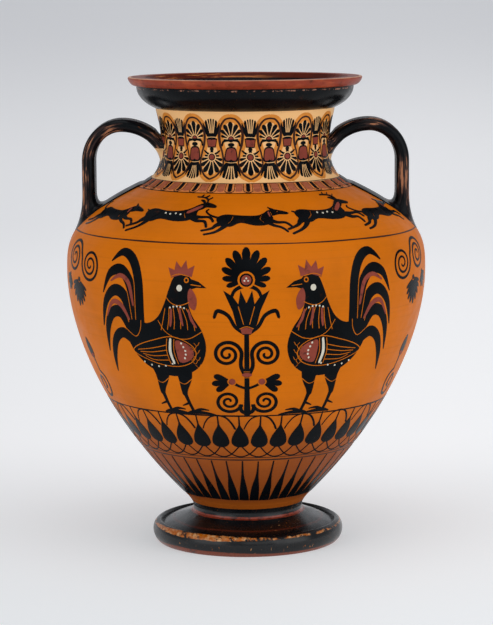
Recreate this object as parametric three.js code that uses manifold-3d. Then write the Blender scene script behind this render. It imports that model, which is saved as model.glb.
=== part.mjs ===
// Neck amphora: a large two-handled fired-clay storage jar with a neck set off from the body.
// Millimetres, +Z up. The origin is the centre of the resting ring, on the surface that the jar stands on.
// The jar is modelled as a potter puts it together: every section thrown or pulled by itself and luted with slip.
import * as THREE from "three";
import { mergeVertices } from "three/addons/utils/BufferGeometryUtils.js";
import Module from "manifold-3d";

const wasm = await Module();
wasm.setup();

// Driving dimensions
const lutingGap = 0.3; // slip joint between two sections
const footHeight = 28;
const footRadius = 88;
const restOuterRadius = 84; // flat ring under the foot
const restInnerRadius = 70;
const footCrestRadius = 83.2; // top of the rounded edge
const footCrestHeight = 18.8;
const footCreaseRadius = 80; // groove between the rounded edge and the cone
const footCreaseHeight = 15.6;
const creaseWidth = 0.6;
const footTopRadius = 51.5;
const footThickness = 8.5; // at the middle, over the hollow underside
const collarHeight = 13.3; // round the joint of foot and body
const collarThickness = 9;
const collarWaist = 1.4; // how far the collar is drawn in between its ends
const baseRadius = 55.4; // body where it leaves the collar
const bellyRadius = 165;
const bellyHeight = 211.4; // from the body's base up to its widest ring
const bodyWall = 6;
const floorThickness = 9;
const shoulderHeight = 80.7; // from the widest ring up to the neck joint
const shoulderTopRadius = 92.9;
const neckHeight = 67.6;
const neckWaistRadius = 77.2;
const neckTopRadius = 82.1;
const neckWall = 7;
const mouthHeight = 28.1;
const mouthRadius = 107.2;
const bowlRadius = 99.5; // rounded black part of the lip, under the flange
const flangeHeight = 8.5;
const flangeStep = 1; // the flange stands out over the bowl
const rimFlat = 11.5; // width of the flat ring on top of the lip
const edgeRound = 1.2;
const reedDiameter = 11.9;
const reedNames = ["front", "middle", "back"];
const handleInset = 21.4; // widest ring of the body in to the middle of the upright limb
const elbowShare = 0.454; // crown's place, of the way from the upright limb in to the neck
const crownBelowNeckTop = 15.4;
const elbowHeight = 33; // the outer bend rises this far from the upright limb to the crown
const archDrop = 18; // from the crown down to the neck
const rootRim = 0.5; // the root wad stands this far round the reeds
const lowerRootHeight = 20; // wad's top over the shoulder, at the limb's middle
const lowerRootReach = 18.6; // half the wad's length, measured along the slope of the shoulder
const lowerRootHalfWidth = 23.5;
const upperRootLength = 9;
const upperRootReach = 9.5; // half the wad's height on the neck
const upperRootHalfWidth = 21;
const copeDepth = 4; // overrun of a wad into the wall before it is cut to fit, and of the cutter

// Facets
const roundSegments = 56;
const lowerSideSteps = 12;
const shoulderSteps = 10;
const neckFootSteps = 6;
const bendSteps = 5;
const slopeSteps = 4;
const creaseSteps = 3;
const hollowSteps = 3;
const reedSides = 12;
const limbSteps = 3;
const elbowSteps = 7;
const archSteps = 7;
const wadSides = 24;
const wadSteps = 5;

// Heights that follow from the stack of sections
const collarBase = footHeight + lutingGap;
const bodyBase = collarBase + collarHeight;
const belly = bodyBase + bellyHeight;
const neckBase = belly + lutingGap + shoulderHeight;
const neckTop = neckBase + neckHeight;
const mouthBase = neckTop + lutingGap;
const mouthTop = mouthBase + mouthHeight;
const neckBore = neckWaistRadius - neckWall;

// Materials
const clay = { color: 0xcf7618, roughness: 0.5, metalness: 0 };
const paleClay = { color: 0xe1a55f, roughness: 0.55, metalness: 0 };
const blackSlip = { color: 0x17181b, roughness: 0.3, metalness: 0 };

const v2 = (r, z) => new THREE.Vector2(r, z);

// Points of a cubic curve, without its last one unless it ends the outline.
function sweep(a, b, c, d, steps, withEnd = true) {
  const points = new THREE.CubicBezierCurve(a, b, c, d).getPoints(steps);
  return withEnd ? points : points.slice(0, -1);
}

// An outline moved sideways: to its left for a positive distance, as seen going along it.
function offsetLine(points, distance) {
  return points.map((p, i) => {
    const before = points[Math.max(i - 1, 0)];
    const after = points[Math.min(i + 1, points.length - 1)];
    const along = after.clone().sub(before).normalize();
    return v2(p.x - along.y * distance, p.y + along.x * distance);
  });
}

// A solid of revolution about Z from an outline that goes up its outer side.
function revolve(outline) {
  return new THREE.LatheGeometry(outline, roundSegments).rotateX(Math.PI / 2);
}

// A wall of even thickness between an outer line that goes up and the same line moved inwards.
function thrownWall(outer, inner) {
  const loop = [...outer, ...inner.slice().reverse()];
  return revolve([...loop, loop[0].clone()]);
}

// Radius of a line at a height, and its height at a radius, by straight steps between its points.
function crossing(points, known, wanted, value) {
  for (let i = 1; i < points.length; i += 1) {
    const [p, q] = [points[i - 1], points[i]];
    const share = (value - p[known]) / (q[known] - p[known]);
    if (share >= 0 && share <= 1) return p[wanted] + share * (q[wanted] - p[wanted]);
  }
  throw new Error(`the line never reaches ${value}`);
}
const radiusAt = (points, z) => crossing(points, "y", "x", z);
const heightAt = (points, r) => crossing(points, "x", "y", r);

// Manifold solids for cutting
function solidOf(geometry) {
  const bare = geometry.clone();
  bare.deleteAttribute("normal");
  bare.deleteAttribute("uv");
  const merged = mergeVertices(bare);
  return new wasm.Manifold(
    new wasm.Mesh({
      numProp: 3,
      vertProperties: new Float32Array(merged.attributes.position.array),
      triVerts: new Uint32Array(merged.index.array),
    }),
  );
}

function geometryOf(solid) {
  const { vertProperties, triVerts } = solid.getMesh();
  const geometry = new THREE.BufferGeometry();
  geometry.setAttribute("position", new THREE.BufferAttribute(new Float32Array(vertProperties), 3));
  geometry.setIndex(new THREE.BufferAttribute(new Uint32Array(triVerts), 1));
  const flat = geometry.toNonIndexed();
  flat.computeVertexNormals();
  return flat;
}

// Foot: a thrown disc with a rounded edge, a conical top and a hollow underside.
const footShares = {
  edgeDrop: 0.28, // of the crest's height
  edgePull: 0.5, // of the edge's overhang
  startRun: 0.1, // from the crest to the crease, of their distance out and up
  startRise: 0.05,
  crestRun: 0.45,
  crestRise: 0.2,
  creaseRun: 0.1,
  creaseRise: 0.85,
  flatRun: 0.45, // hollow underside, of the resting ring's inner radius and of the hollow's height
  bendRun: 0.8,
  bendRise: 0.9,
  lipRun: 0.95,
  lipRise: 0.3,
  outerRun: 0.27, // cone, of its width and height
  outerRise: 0.4,
  innerRun: 0.32,
  innerRise: 0.58,
};

function footOutline() {
  const share = footShares;
  const edgeDrop = footCrestHeight * share.edgeDrop;
  const edgePull = footRadius + (footRadius - restOuterRadius) * share.edgePull;
  const hollowTop = footHeight - footThickness;
  const crestRun = footCrestRadius - footCreaseRadius;
  const crestRise = footCrestHeight - footCreaseHeight;
  const run = footCreaseRadius - creaseWidth - footTopRadius;
  const rise = footHeight - footCreaseHeight;
  const crease = v2(footCreaseRadius - creaseWidth, footCreaseHeight);
  return [
    v2(0, hollowTop),
    ...sweep(
      v2(restInnerRadius * share.flatRun, hollowTop),
      v2(restInnerRadius * share.bendRun, hollowTop * share.bendRise),
      v2(restInnerRadius * share.lipRun, hollowTop * share.lipRise),
      v2(restInnerRadius, 0),
      hollowSteps,
    ),
    ...sweep(
      v2(restOuterRadius, 0),
      v2(edgePull, edgeDrop),
      v2(edgePull, footCrestHeight - edgeDrop / 2),
      v2(footCrestRadius, footCrestHeight),
      bendSteps,
    ),
    ...sweep(
      v2(footCrestRadius - crestRun * share.startRun, footCrestHeight + crestRise * share.startRise),
      v2(footCrestRadius - crestRun * share.crestRun, footCrestHeight + crestRise * share.crestRise),
      v2(footCreaseRadius + crestRun * share.creaseRun, footCreaseHeight + crestRise * share.creaseRise),
      v2(footCreaseRadius, footCreaseHeight),
      creaseSteps,
    ),
    ...sweep(
      crease,
      v2(crease.x - run * share.outerRun, footCreaseHeight + rise * share.outerRise),
      v2(footTopRadius + run * share.innerRun, footCreaseHeight + rise * share.innerRise),
      v2(footTopRadius, footHeight),
      slopeSteps,
    ),
    v2(0, footHeight),
  ];
}

// Collar: a ring of clay pressed round the joint of foot and body, drawn in at its middle.
function collarOutline() {
  const bore = footTopRadius - collarThickness;
  const top = collarBase + collarHeight - lutingGap;
  const waist = footTopRadius - collarWaist;
  return [
    v2(bore, collarBase),
    ...sweep(
      v2(footTopRadius, collarBase),
      v2(waist, collarBase + collarHeight / 3),
      v2(waist, collarBase + collarHeight / 2),
      v2(baseRadius, top),
      slopeSteps,
    ),
    v2(bore, top),
    v2(bore, collarBase),
  ];
}

// The body's swelling side, from its base to the widest ring, and from there in to the neck.
const sideShares = {
  baseRun: 0.845, // pull of the base, of the lower body's width and height
  baseRise: 0.436,
  bellyFall: 0.1685, // pull of the widest ring, down and up
  bellyRise: 0.328,
  slopeRun: 1.01, // pull of the neck joint, of the shoulder's width and height
  slopeFall: 0.399,
};
const shoulderBase = belly + lutingGap;
const lowerSide = sweep(
  v2(baseRadius, bodyBase),
  v2(
    baseRadius + (bellyRadius - baseRadius) * sideShares.baseRun,
    bodyBase + bellyHeight * sideShares.baseRise,
  ),
  v2(bellyRadius, belly - bellyHeight * sideShares.bellyFall),
  v2(bellyRadius, belly),
  lowerSideSteps,
);
const shoulderSide = sweep(
  v2(bellyRadius, shoulderBase),
  v2(bellyRadius, shoulderBase + shoulderHeight * sideShares.bellyRise),
  v2(
    shoulderTopRadius + (bellyRadius - shoulderTopRadius) * sideShares.slopeRun,
    neckBase - shoulderHeight * sideShares.slopeFall,
  ),
  v2(shoulderTopRadius, neckBase),
  shoulderSteps,
);

// Lower body: stem inside the collar, floor, and a wall of even thickness up to the widest ring.
const floorShares = { flatRun: 0.5, bendRun: 0.8, bendRise: 0.33 };

function lowerBody() {
  const stemRadius = footTopRadius - collarThickness - lutingGap;
  const inner = offsetLine(lowerSide, bodyWall);
  inner[inner.length - 1] = v2(bellyRadius - bodyWall, belly);
  const floor = bodyBase + floorThickness;
  const innerWall = inner.filter((p, i) => i % 2 === 0 && p.y > floor + bodyWall);
  const foot = innerWall[0];
  const bowl = sweep(
    v2(0, floor),
    v2(foot.x * floorShares.flatRun, floor),
    v2(foot.x * floorShares.bendRun, floor + (foot.y - floor) * floorShares.bendRise),
    foot,
    hollowSteps,
    false,
  );
  return revolve([
    v2(0, collarBase),
    v2(stemRadius, collarBase),
    v2(stemRadius, bodyBase),
    ...lowerSide,
    ...[...bowl, ...innerWall].reverse(),
  ]);
}

// Upper body: the shoulder, thrown as a cap with a hole, whose edge carries the neck.
function upperBody() {
  const inner = offsetLine(shoulderSide, bodyWall);
  inner[0] = v2(bellyRadius - bodyWall, shoulderBase);
  const hidden = inner.filter((p, i) => i % 2 === 0);
  return thrownWall(
    [...shoulderSide, v2(neckBore, neckBase)],
    [...hidden, v2(neckBore, neckBase - bodyWall)],
  );
}

// Neck: spreads where it sits on the shoulder, narrows to its waist and opens again below the lip.
const neckShares = {
  waistHeight: 0.52, // of the neck's height
  footRun: 0.25, // of the spread at the foot
  footRise: 0.11, // the rest of the rises are of the neck's height
  waistPull: 0.25,
  topRun: 0.33, // of the spread at the top
  topFall: 0.125,
  boreRun: 0.33,
  boreFall: 0.24,
};
const neckFoot = neckBase + lutingGap;
const neckWaist = neckBase + neckHeight * neckShares.waistHeight;
const footSpread = shoulderTopRadius - neckWaistRadius;
const topSpread = neckTopRadius - neckWaistRadius;
const neckSide = [
  ...sweep(
    v2(shoulderTopRadius, neckFoot),
    v2(neckWaistRadius + footSpread * neckShares.footRun, neckFoot + neckHeight * neckShares.footRise),
    v2(neckWaistRadius, neckWaist - neckHeight * neckShares.waistPull),
    v2(neckWaistRadius, neckWaist),
    neckFootSteps,
    false,
  ),
  ...sweep(
    v2(neckWaistRadius, neckWaist),
    v2(neckWaistRadius, neckWaist + neckHeight * neckShares.waistPull),
    v2(neckTopRadius - topSpread * neckShares.topRun, neckTop - neckHeight * neckShares.topFall),
    v2(neckTopRadius, neckTop),
    slopeSteps,
  ),
];
const boreTop = v2(neckTopRadius - neckWall, neckTop);

function neckSleeve() {
  const flare = v2(
    neckBore + topSpread * neckShares.boreRun,
    neckTop - neckHeight * neckShares.boreFall,
  );
  return thrownWall(neckSide, [v2(neckBore, neckFoot), v2(neckBore, neckWaist), flare, boreTop]);
}

// Mouth: a rounded bowl, a flange that stands out over it, a flat ring on top and a sloping inside.
const mouthShares = {
  bowlRun: 0.42, // outside of the bowl, of its width and height
  bowlRise: 0.15,
  bowlFull: 0.5,
  flangeRise: 0.33, // of the flange's height
  upperRun: 0.7, // inside, of the bowl's width and the mouth's height
  upperFall: 0.33,
  lowerRun: 0.2,
  lowerRise: 0.33,
};

function mouthOutline() {
  const share = mouthShares;
  const flangeBase = mouthTop - flangeHeight;
  const bowlRun = bowlRadius - neckTopRadius;
  const bowlRise = flangeBase - mouthBase;
  const flangeRadius = bowlRadius + flangeStep;
  return [
    ...sweep(
      v2(neckTopRadius, mouthBase),
      v2(neckTopRadius + bowlRun * share.bowlRun, mouthBase + bowlRise * share.bowlRise),
      v2(bowlRadius, mouthBase + bowlRise * share.bowlFull),
      v2(bowlRadius, flangeBase),
      bendSteps,
    ),
    ...sweep(
      v2(flangeRadius, flangeBase + flangeStep / 2),
      v2(flangeRadius + flangeStep * 2, flangeBase + flangeHeight * share.flangeRise),
      v2(mouthRadius - flangeStep, mouthTop - flangeHeight * share.flangeRise),
      v2(mouthRadius, mouthTop - edgeRound),
      hollowSteps,
    ),
    v2(mouthRadius - edgeRound, mouthTop),
    v2(mouthRadius - rimFlat, mouthTop),
    ...sweep(
      v2(mouthRadius - rimFlat - edgeRound, mouthTop - edgeRound),
      v2(boreTop.x + bowlRun * share.upperRun, mouthTop - mouthHeight * share.upperFall),
      v2(boreTop.x + bowlRun * share.lowerRun, mouthBase + mouthHeight * share.lowerRise),
      v2(boreTop.x, mouthBase),
      slopeSteps,
    ),
    v2(neckTopRadius, mouthBase),
  ];
}

// Handles
// One line serves all three reeds: up the limb, round the elbow to the crown, and down the arch to the neck.
const handleReach = bellyRadius - handleInset;
const crownReach = handleReach - (handleReach - neckWaistRadius) * elbowShare;
const crown = neckTop - crownBelowNeckTop;
const elbow = crown - elbowHeight;
const archRun = crownReach - neckWaistRadius;
const archRadius = (archRun ** 2 + archDrop ** 2) / (archDrop * 2);
const wadTop = heightAt(shoulderSide, handleReach) + lowerRootHeight;

// Angle of the arch, from the crown towards the neck, at which the reed has come to a radius.
const archAngleAt = (radius) => Math.asin((crownReach - radius) / archRadius);
const archPoint = (angle) =>
  v2(crownReach - archRadius * Math.sin(angle), crown - archRadius * (1 - Math.cos(angle)));
const neckRadius = radiusAt(neckSide, archPoint(archAngleAt(neckWaistRadius)).y);
const archEnd = archAngleAt(neckRadius + upperRootLength);

function reedLine() {
  const line = [];
  for (let i = 0; i < limbSteps; i += 1) {
    line.push(v2(handleReach, THREE.MathUtils.lerp(wadTop + lutingGap, elbow, i / limbSteps)));
  }
  for (let i = 0; i < elbowSteps; i += 1) {
    const turn = (Math.PI / 2) * (i / elbowSteps);
    const reach = (handleReach - crownReach) * Math.cos(turn);
    line.push(v2(crownReach + reach, elbow + elbowHeight * Math.sin(turn)));
  }
  for (let i = 0; i <= archSteps; i += 1) line.push(archPoint(archEnd * (i / archSteps)));
  return line;
}

// A path through given points with straight steps, so that the first and last sections stay square to it.
class PointPath extends THREE.Curve {
  constructor(points) {
    super();
    this.points = points;
  }
  getPoint(t) {
    const place = t * (this.points.length - 1);
    const i = Math.min(Math.floor(place), this.points.length - 2);
    return this.points[i].clone().lerp(this.points[i + 1], place - i);
  }
  getPointAt(t) {
    return this.getPoint(t);
  }
  getTangentAt(t) {
    const last = this.points.length - 1;
    const i = Math.round(t * last);
    const from = this.points[Math.max(i - 1, 0)];
    const to = this.points[Math.min(i + 1, last)];
    return to.clone().sub(from).normalize();
  }
}

// A reed: a pulled rod of clay with a round section, at one place across the handle.
function reed(side, across) {
  const line = reedLine().map((p) => new THREE.Vector3(side * p.x, across, p.y));
  const section = new THREE.Shape();
  for (let i = 0; i < reedSides; i += 1) {
    const angle = (2 * Math.PI * i) / reedSides;
    const [x, y] = [Math.cos(angle), Math.sin(angle)].map((c) => (c * reedDiameter) / 2);
    if (i === 0) section.moveTo(x, y);
    else section.lineTo(x, y);
  }
  section.closePath();
  return new THREE.ExtrudeGeometry(section, {
    steps: line.length - 1,
    extrudePath: new PointPath(line),
    bevelEnabled: false,
  });
}

// A root wad: clay spread from the reeds' ends over the wall, as a loft whose sections turn as they widen.
// Each section is a rounded oblong at (r, z), tilted in the plane of the handle.
function wad(side, from, to) {
  const positions = [];
  const faces = [];
  const rings = wadSteps + 2;
  const sunk = { ...to, at: to.at.clone().addScaledVector(to.inwards, copeDepth) };
  for (let k = 0; k < rings; k += 1) {
    const t = Math.min(k / wadSteps, 1);
    const spread = 1 - Math.sqrt(1 - t * t);
    const end = k > wadSteps ? sunk : to;
    const centre = k > wadSteps ? end.at : from.at.clone().lerp(end.at, t);
    const tilt = THREE.MathUtils.lerp(from.tilt, end.tilt, t);
    const reach = THREE.MathUtils.lerp(from.reach, end.reach, spread);
    const halfWidth = THREE.MathUtils.lerp(from.halfWidth, end.halfWidth, spread);
    const corner = Math.min(reach, halfWidth);
    for (let i = 0; i < wadSides; i += 1) {
      const angle = (2 * Math.PI * (i + 0.5)) / wadSides;
      const u = Math.cos(angle) * corner + Math.sign(Math.cos(angle)) * (reach - corner);
      const w = Math.sin(angle) * corner + Math.sign(Math.sin(angle)) * (halfWidth - corner);
      positions.push(side * (centre.x + u * Math.cos(tilt)), w, centre.y + u * Math.sin(tilt));
    }
  }
  for (let k = 0; k < rings - 1; k += 1) {
    for (let i = 0; i < wadSides; i += 1) {
      const [a, b] = [k * wadSides + i, k * wadSides + ((i + 1) % wadSides)];
      faces.push(a, b, b + wadSides, a, b + wadSides, a + wadSides);
    }
  }
  const last = (rings - 1) * wadSides;
  for (let i = 1; i < wadSides - 1; i += 1) {
    faces.push(0, i + 1, i);
    faces.push(last, last + i, last + i + 1);
  }
  if (side > 0) faces.reverse();
  const geometry = new THREE.BufferGeometry();
  geometry.setAttribute("position", new THREE.Float32BufferAttribute(positions, 3));
  geometry.setIndex(faces);
  return geometry;
}

const reedPitch = reedDiameter + lutingGap;
const reedSpan = reedPitch * (reedNames.length - 1);
const rootHalfWidth = (reedSpan + reedDiameter) / 2 + rootRim;
const rootReach = reedDiameter / 2 + rootRim;

// Lower wad: from the reeds' level ends down to the slope of the shoulder.
function lowerWad(side) {
  const tilt = Math.atan2(
    heightAt(shoulderSide, handleReach + rootReach) - heightAt(shoulderSide, handleReach - rootReach),
    rootReach * 2,
  );
  return wad(
    side,
    { at: v2(handleReach, wadTop), tilt: 0, reach: rootReach, halfWidth: rootHalfWidth },
    {
      at: v2(handleReach, heightAt(shoulderSide, handleReach)),
      tilt,
      reach: lowerRootReach,
      halfWidth: lowerRootHalfWidth,
      inwards: v2(Math.sin(tilt), -Math.cos(tilt)),
    },
  );
}

// Upper wad: from the reeds' slanting ends in to the upright side of the neck.
function upperWad(side) {
  const along = v2(-Math.cos(archEnd), -Math.sin(archEnd));
  const start = archPoint(archEnd).addScaledVector(along, lutingGap);
  const end = archPoint(archAngleAt(neckRadius));
  return wad(
    side,
    { at: start, tilt: archEnd - Math.PI / 2, reach: rootReach, halfWidth: rootHalfWidth },
    {
      at: v2(neckRadius, end.y),
      tilt: -Math.PI / 2,
      reach: upperRootReach,
      halfWidth: upperRootHalfWidth,
      inwards: v2(-1, 0),
    },
  );
}

// What a wad is cut to fit: the wall's outer side, grown by the slip joint and filled in to the axis.
function wallCutter(side) {
  const grown = offsetLine(side, -lutingGap);
  const [first, last] = [grown[0], grown[grown.length - 1]];
  return solidOf(
    revolve([v2(0, first.y - copeDepth), v2(first.x, first.y - copeDepth), ...grown, v2(0, last.y)]),
  );
}
const coped = (geometry, cutter) => geometryOf(solidOf(geometry).subtract(cutter));

// Assembly
const amphora = new THREE.Group();
amphora.name = "neck_amphora";

function add(name, geometry, finish) {
  const mesh = new THREE.Mesh(geometry, new THREE.MeshStandardMaterial(finish));
  mesh.name = name;
  amphora.add(mesh);
}

add("foot_disc", revolve(footOutline()), blackSlip);
add("foot_collar", revolve(collarOutline()), blackSlip);
add("body_lower", lowerBody(), clay);
add("body_shoulder", upperBody(), clay);
add("neck", neckSleeve(), paleClay);
add("mouth", revolve(mouthOutline()), blackSlip);

const shoulderCutter = wallCutter(shoulderSide);
const neckCutter = wallCutter(neckSide);
for (const [sideName, side] of [["left", -1], ["right", 1]]) {
  reedNames.forEach((reedName, i) => {
    const across = i * reedPitch - reedSpan / 2;
    add(`handle_${sideName}_reed_${reedName}`, reed(side, across), blackSlip);
  });
  add(`handle_${sideName}_lower_root`, coped(lowerWad(side), shoulderCutter), blackSlip);
  add(`handle_${sideName}_upper_root`, coped(upperWad(side), neckCutter), blackSlip);
}

export default amphora;
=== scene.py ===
"""Neck amphora: a fired-clay storage jar with reeded handles, painted in black slip with added red and white.

The jar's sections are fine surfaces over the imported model. The paint is thin closed shells of slip laid on
them. Outlines and drawings are in millimetres; Blender's own unit is the metre.
"""

import collections
import math

import bpy
import numpy as np
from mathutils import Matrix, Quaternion, Vector
from mathutils.geometry import delaunay_2d_cdt


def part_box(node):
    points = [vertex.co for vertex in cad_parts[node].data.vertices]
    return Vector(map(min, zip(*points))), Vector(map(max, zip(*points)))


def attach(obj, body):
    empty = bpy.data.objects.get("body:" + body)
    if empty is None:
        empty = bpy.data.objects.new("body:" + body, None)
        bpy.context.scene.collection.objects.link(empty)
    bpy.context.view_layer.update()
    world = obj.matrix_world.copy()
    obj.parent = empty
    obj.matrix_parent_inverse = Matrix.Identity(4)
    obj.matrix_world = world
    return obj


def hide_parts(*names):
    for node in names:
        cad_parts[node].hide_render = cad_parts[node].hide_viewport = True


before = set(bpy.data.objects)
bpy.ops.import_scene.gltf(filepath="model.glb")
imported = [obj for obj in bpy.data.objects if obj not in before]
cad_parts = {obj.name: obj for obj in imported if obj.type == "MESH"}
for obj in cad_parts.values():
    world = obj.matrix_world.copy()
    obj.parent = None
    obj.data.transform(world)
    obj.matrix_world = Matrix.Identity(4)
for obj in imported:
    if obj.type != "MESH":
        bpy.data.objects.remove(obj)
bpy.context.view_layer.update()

bl_info = {
    "name": "Neck amphora",
    "version": (1, 0),
    "blender": (4, 5, 0),
    "location": "3D View > Sidebar > Amphora",
    "description": "Builds a painted neck amphora round its packed model, with a stage to see it on",
    "category": "Add Mesh",
}

MM = 0.001


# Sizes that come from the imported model, in millimetres


def reach_of(node):
    """Largest radius of a CAD node."""
    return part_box(node)[1].x / MM


def base_of(node):
    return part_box(node)[0].z / MM


def top_of(node):
    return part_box(node)[1].z / MM


FOOT_TOP = top_of("foot_disc")
COLLAR_BASE = base_of("foot_collar")
COLLAR_TOP = top_of("foot_collar")
BASE_RADIUS = reach_of("foot_collar")
BELLY_RADIUS = reach_of("body_shoulder")
BELLY = top_of("body_lower")
SHOULDER_BASE = base_of("body_shoulder")
NECK_BASE = top_of("body_shoulder")
NECK_FOOT = base_of("neck")
NECK_TOP = top_of("neck")
NECK_FOOT_RADIUS = reach_of("neck")
MOUTH_TOP = top_of("mouth")
MOUTH_RADIUS = reach_of("mouth")
JOINT = NECK_FOOT - NECK_BASE
BODY_BASE = COLLAR_TOP + JOINT

REED_LOW, REED_HIGH = (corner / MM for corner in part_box("handle_right_reed_front"))
REED_RADIUS = (REED_HIGH.y - REED_LOW.y) / 2
REED_PITCH = -(REED_HIGH.y + REED_LOW.y) / 2
HANDLE_REACH = REED_HIGH.x - REED_RADIUS
CROWN = REED_HIGH.z - REED_RADIUS
LOWER_WAD_TOP = top_of("handle_right_lower_root")

# Sizes within the model's pieces, in millimetres
BODY_WALL = 6
FLOOR_THICKNESS = 9
NECK_WALL = 7
NECK_WAIST_RADIUS = 77.2
NECK_TOP_RADIUS = 82.1
BOWL_RADIUS = 99.5
FLANGE_HEIGHT = 8.5
FLANGE_STEP = 1
INSIDE_DROP = 9.3
RIM_FLAT = 11.5
EDGE_ROUND = 1.2
REST_OUTER_RADIUS = 84
REST_INNER_RADIUS = 70
FOOT_THICKNESS = 8.5
CREST_RADIUS = 83.2
CREST_HEIGHT = 18.8
CREASE_RADIUS = 80
CREASE_HEIGHT = 15.6
CREASE_WIDTH = 0.6
FOOT_TOP_RADIUS = 51.5
FOOT_NOMINAL_RADIUS = 88
COLLAR_WAIST = 1.4
ELBOW_HEIGHT = 33
ARCH_DROP = 18
LOWER_ROOT_REACH = 18.6
LOWER_ROOT_HALF_WIDTH = 23.5
UPPER_ROOT_LENGTH = 9
UPPER_ROOT_REACH = 9.5
UPPER_ROOT_HALF_WIDTH = 21

# Shares that shape the handles: of the run to the crown, of the roots' depth on the side of the opening, of
# the reeds' depth in the grooves between them, and how square the plain oval is
ELBOW_SHARE = 0.454
LOWER_ROOT_INNER_SHARE = 1.6
UPPER_ROOT_UNDER_SHARE = 2.2
GROOVE_SHARE = 0.6
OVAL_FULLNESS = 0.85

# How deep a handle's ends reach into the clay, and how far apart the handles' wear is taken from the noise
SUNK = 3
RUN_BETWEEN_HANDLES = 500

# Heights where slip ends: on the collar, and under the left and the right upper root
SLIP_EDGE = 36.9
RESERVED_LEFT = 365.5
RESERVED_RIGHT = 359.5

# Pulls of the curves of the jar's side, as shares of each stretch's run and rise
LOWER_PULL = (0.845, 0.436)
BELLY_PULL_BELOW = 0.1685
BELLY_PULL_ABOVE = 0.328
SHOULDER_PULL = (1.01, 0.399)
WAIST_SHARE = 0.52
WAIST_PULL = 0.25

# How finely the meshes are divided, and the least angle that stays sharp
ROUND_STEPS = 256
ROOT_STEPS = 12
LIMB_STEPS = 10
ELBOW_STEPS = 22
ARCH_STEPS = 26
REED_STEPS = 8
STRIPE_STEPS = 360
SHARP_ANGLE = math.radians(38)


def srgb(red, green, blue):
    """Linear colour for a display colour given in 0 to 255."""
    shares = [value / 255 for value in (red, green, blue)]
    return tuple(s / 12.92 if s <= 0.04045 else ((s + 0.055) / 1.055) ** 2.4 for s in shares)


# Settings that a user would change


def colour_setting(name, description, default):
    return bpy.props.FloatVectorProperty(
        name=name, description=description, subtype="COLOR", size=3, min=0, max=1, default=default
    )


def number_setting(name, description, default, **kind):
    return bpy.props.FloatProperty(name=name, description=description, default=default, **kind)


class AmphoraColours(bpy.types.PropertyGroup):
    """Colours of the clay and of the slips."""

    clay: colour_setting("Body clay", "Burnished clay of the body", srgb(215, 113, 6))
    # Painted light: the neck's clay is the body's clay shown paler, as if lit more strongly
    neck_clay: colour_setting("Neck clay", "Paler clay of the neck", srgb(254, 200, 136))
    burnt_clay: colour_setting("Burnt clay", "Clay that the kiln reddened near the foot", srgb(126, 61, 29))
    slip: colour_setting("Black slip", "Sintered slip where it lies thick", srgb(10, 14, 18))
    thin_slip: colour_setting("Thin slip", "Slip where it is thin or rubbed", srgb(58, 27, 14))
    lip_red: colour_setting("Lip red", "Iron red on the lip and in rings on the foot", srgb(156, 62, 38))
    added_red: colour_setting("Added red", "Matt purple red laid over the slip", srgb(148, 66, 50))
    added_white: colour_setting("Added white", "Matt cream white laid over the slip", srgb(222, 216, 198))


class AmphoraStage(bpy.types.PropertyGroup):
    """Where the camera stands and how it looks."""

    distance: number_setting("Camera distance", "From the camera to the jar's middle", 2.28, unit="LENGTH")
    tilt: number_setting("Camera tilt", "How far the camera looks down", math.radians(7.65), subtype="ANGLE")
    roll: number_setting("Camera roll", "How far the camera leans", math.radians(-0.38), subtype="ANGLE")
    lens: number_setting("Lens", "Focal length", 141.8, subtype="DISTANCE_CAMERA")


# Outlines, each a list of (radius, height) points in millimetres


def cubic(a, b, c, d, steps, with_end=True):
    """Points of a cubic curve from a to d."""
    line = []
    for i in range(steps + 1 if with_end else steps):
        t = i / steps
        shares = ((1 - t) ** 3, 3 * (1 - t) ** 2 * t, 3 * (1 - t) * t * t, t**3)
        line.append(tuple(sum(s * p[k] for s, p in zip(shares, (a, b, c, d))) for k in (0, 1)))
    return line


def moved_inwards(line, distance):
    """A line that goes up the jar's side, moved to its left by a distance."""
    out = []
    for i, (r, z) in enumerate(line):
        before, after = line[max(i - 1, 0)], line[min(i + 1, len(line) - 1)]
        dr, dz = after[0] - before[0], after[1] - before[1]
        length = math.hypot(dr, dz)
        out.append((r - dz / length * distance, z + dr / length * distance))
    return out


class Outline:
    """An outer line of the jar, read by its length, its height or, on the shoulder, its radius."""

    def __init__(self, points):
        self.r, self.z = (np.array(values) for values in zip(*points))
        self.s = np.concatenate([[0], np.cumsum(np.hypot(np.diff(self.r), np.diff(self.z)))])
        along = np.stack([np.gradient(self.r, self.s), np.gradient(self.z, self.s)])
        along /= np.hypot(*along)
        self.out_r, self.out_z = along[1], -along[0]

    def at(self, s):
        """Radius, height and outward direction at a length along the line."""
        return tuple(np.interp(s, self.s, values) for values in (self.r, self.z, self.out_r, self.out_z))

    def at_height(self, z):
        return tuple(np.interp(z, self.z, values) for values in (self.r, self.out_r, self.out_z))


def lower_side():
    width, height = BELLY_RADIUS - BASE_RADIUS, BELLY - BODY_BASE
    pull = (BASE_RADIUS + width * LOWER_PULL[0], BODY_BASE + height * LOWER_PULL[1])
    belly_pull = (BELLY_RADIUS, BELLY - height * BELLY_PULL_BELOW)
    return cubic((BASE_RADIUS, BODY_BASE), pull, belly_pull, (BELLY_RADIUS, BELLY), 64)


def shoulder_side():
    width, height = BELLY_RADIUS - NECK_FOOT_RADIUS, NECK_BASE - SHOULDER_BASE
    belly_pull = (BELLY_RADIUS, SHOULDER_BASE + height * BELLY_PULL_ABOVE)
    neck_pull = (NECK_FOOT_RADIUS + width * SHOULDER_PULL[0], NECK_BASE - height * SHOULDER_PULL[1])
    return cubic((BELLY_RADIUS, SHOULDER_BASE), belly_pull, neck_pull, (NECK_FOOT_RADIUS, NECK_BASE), 48)


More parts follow.
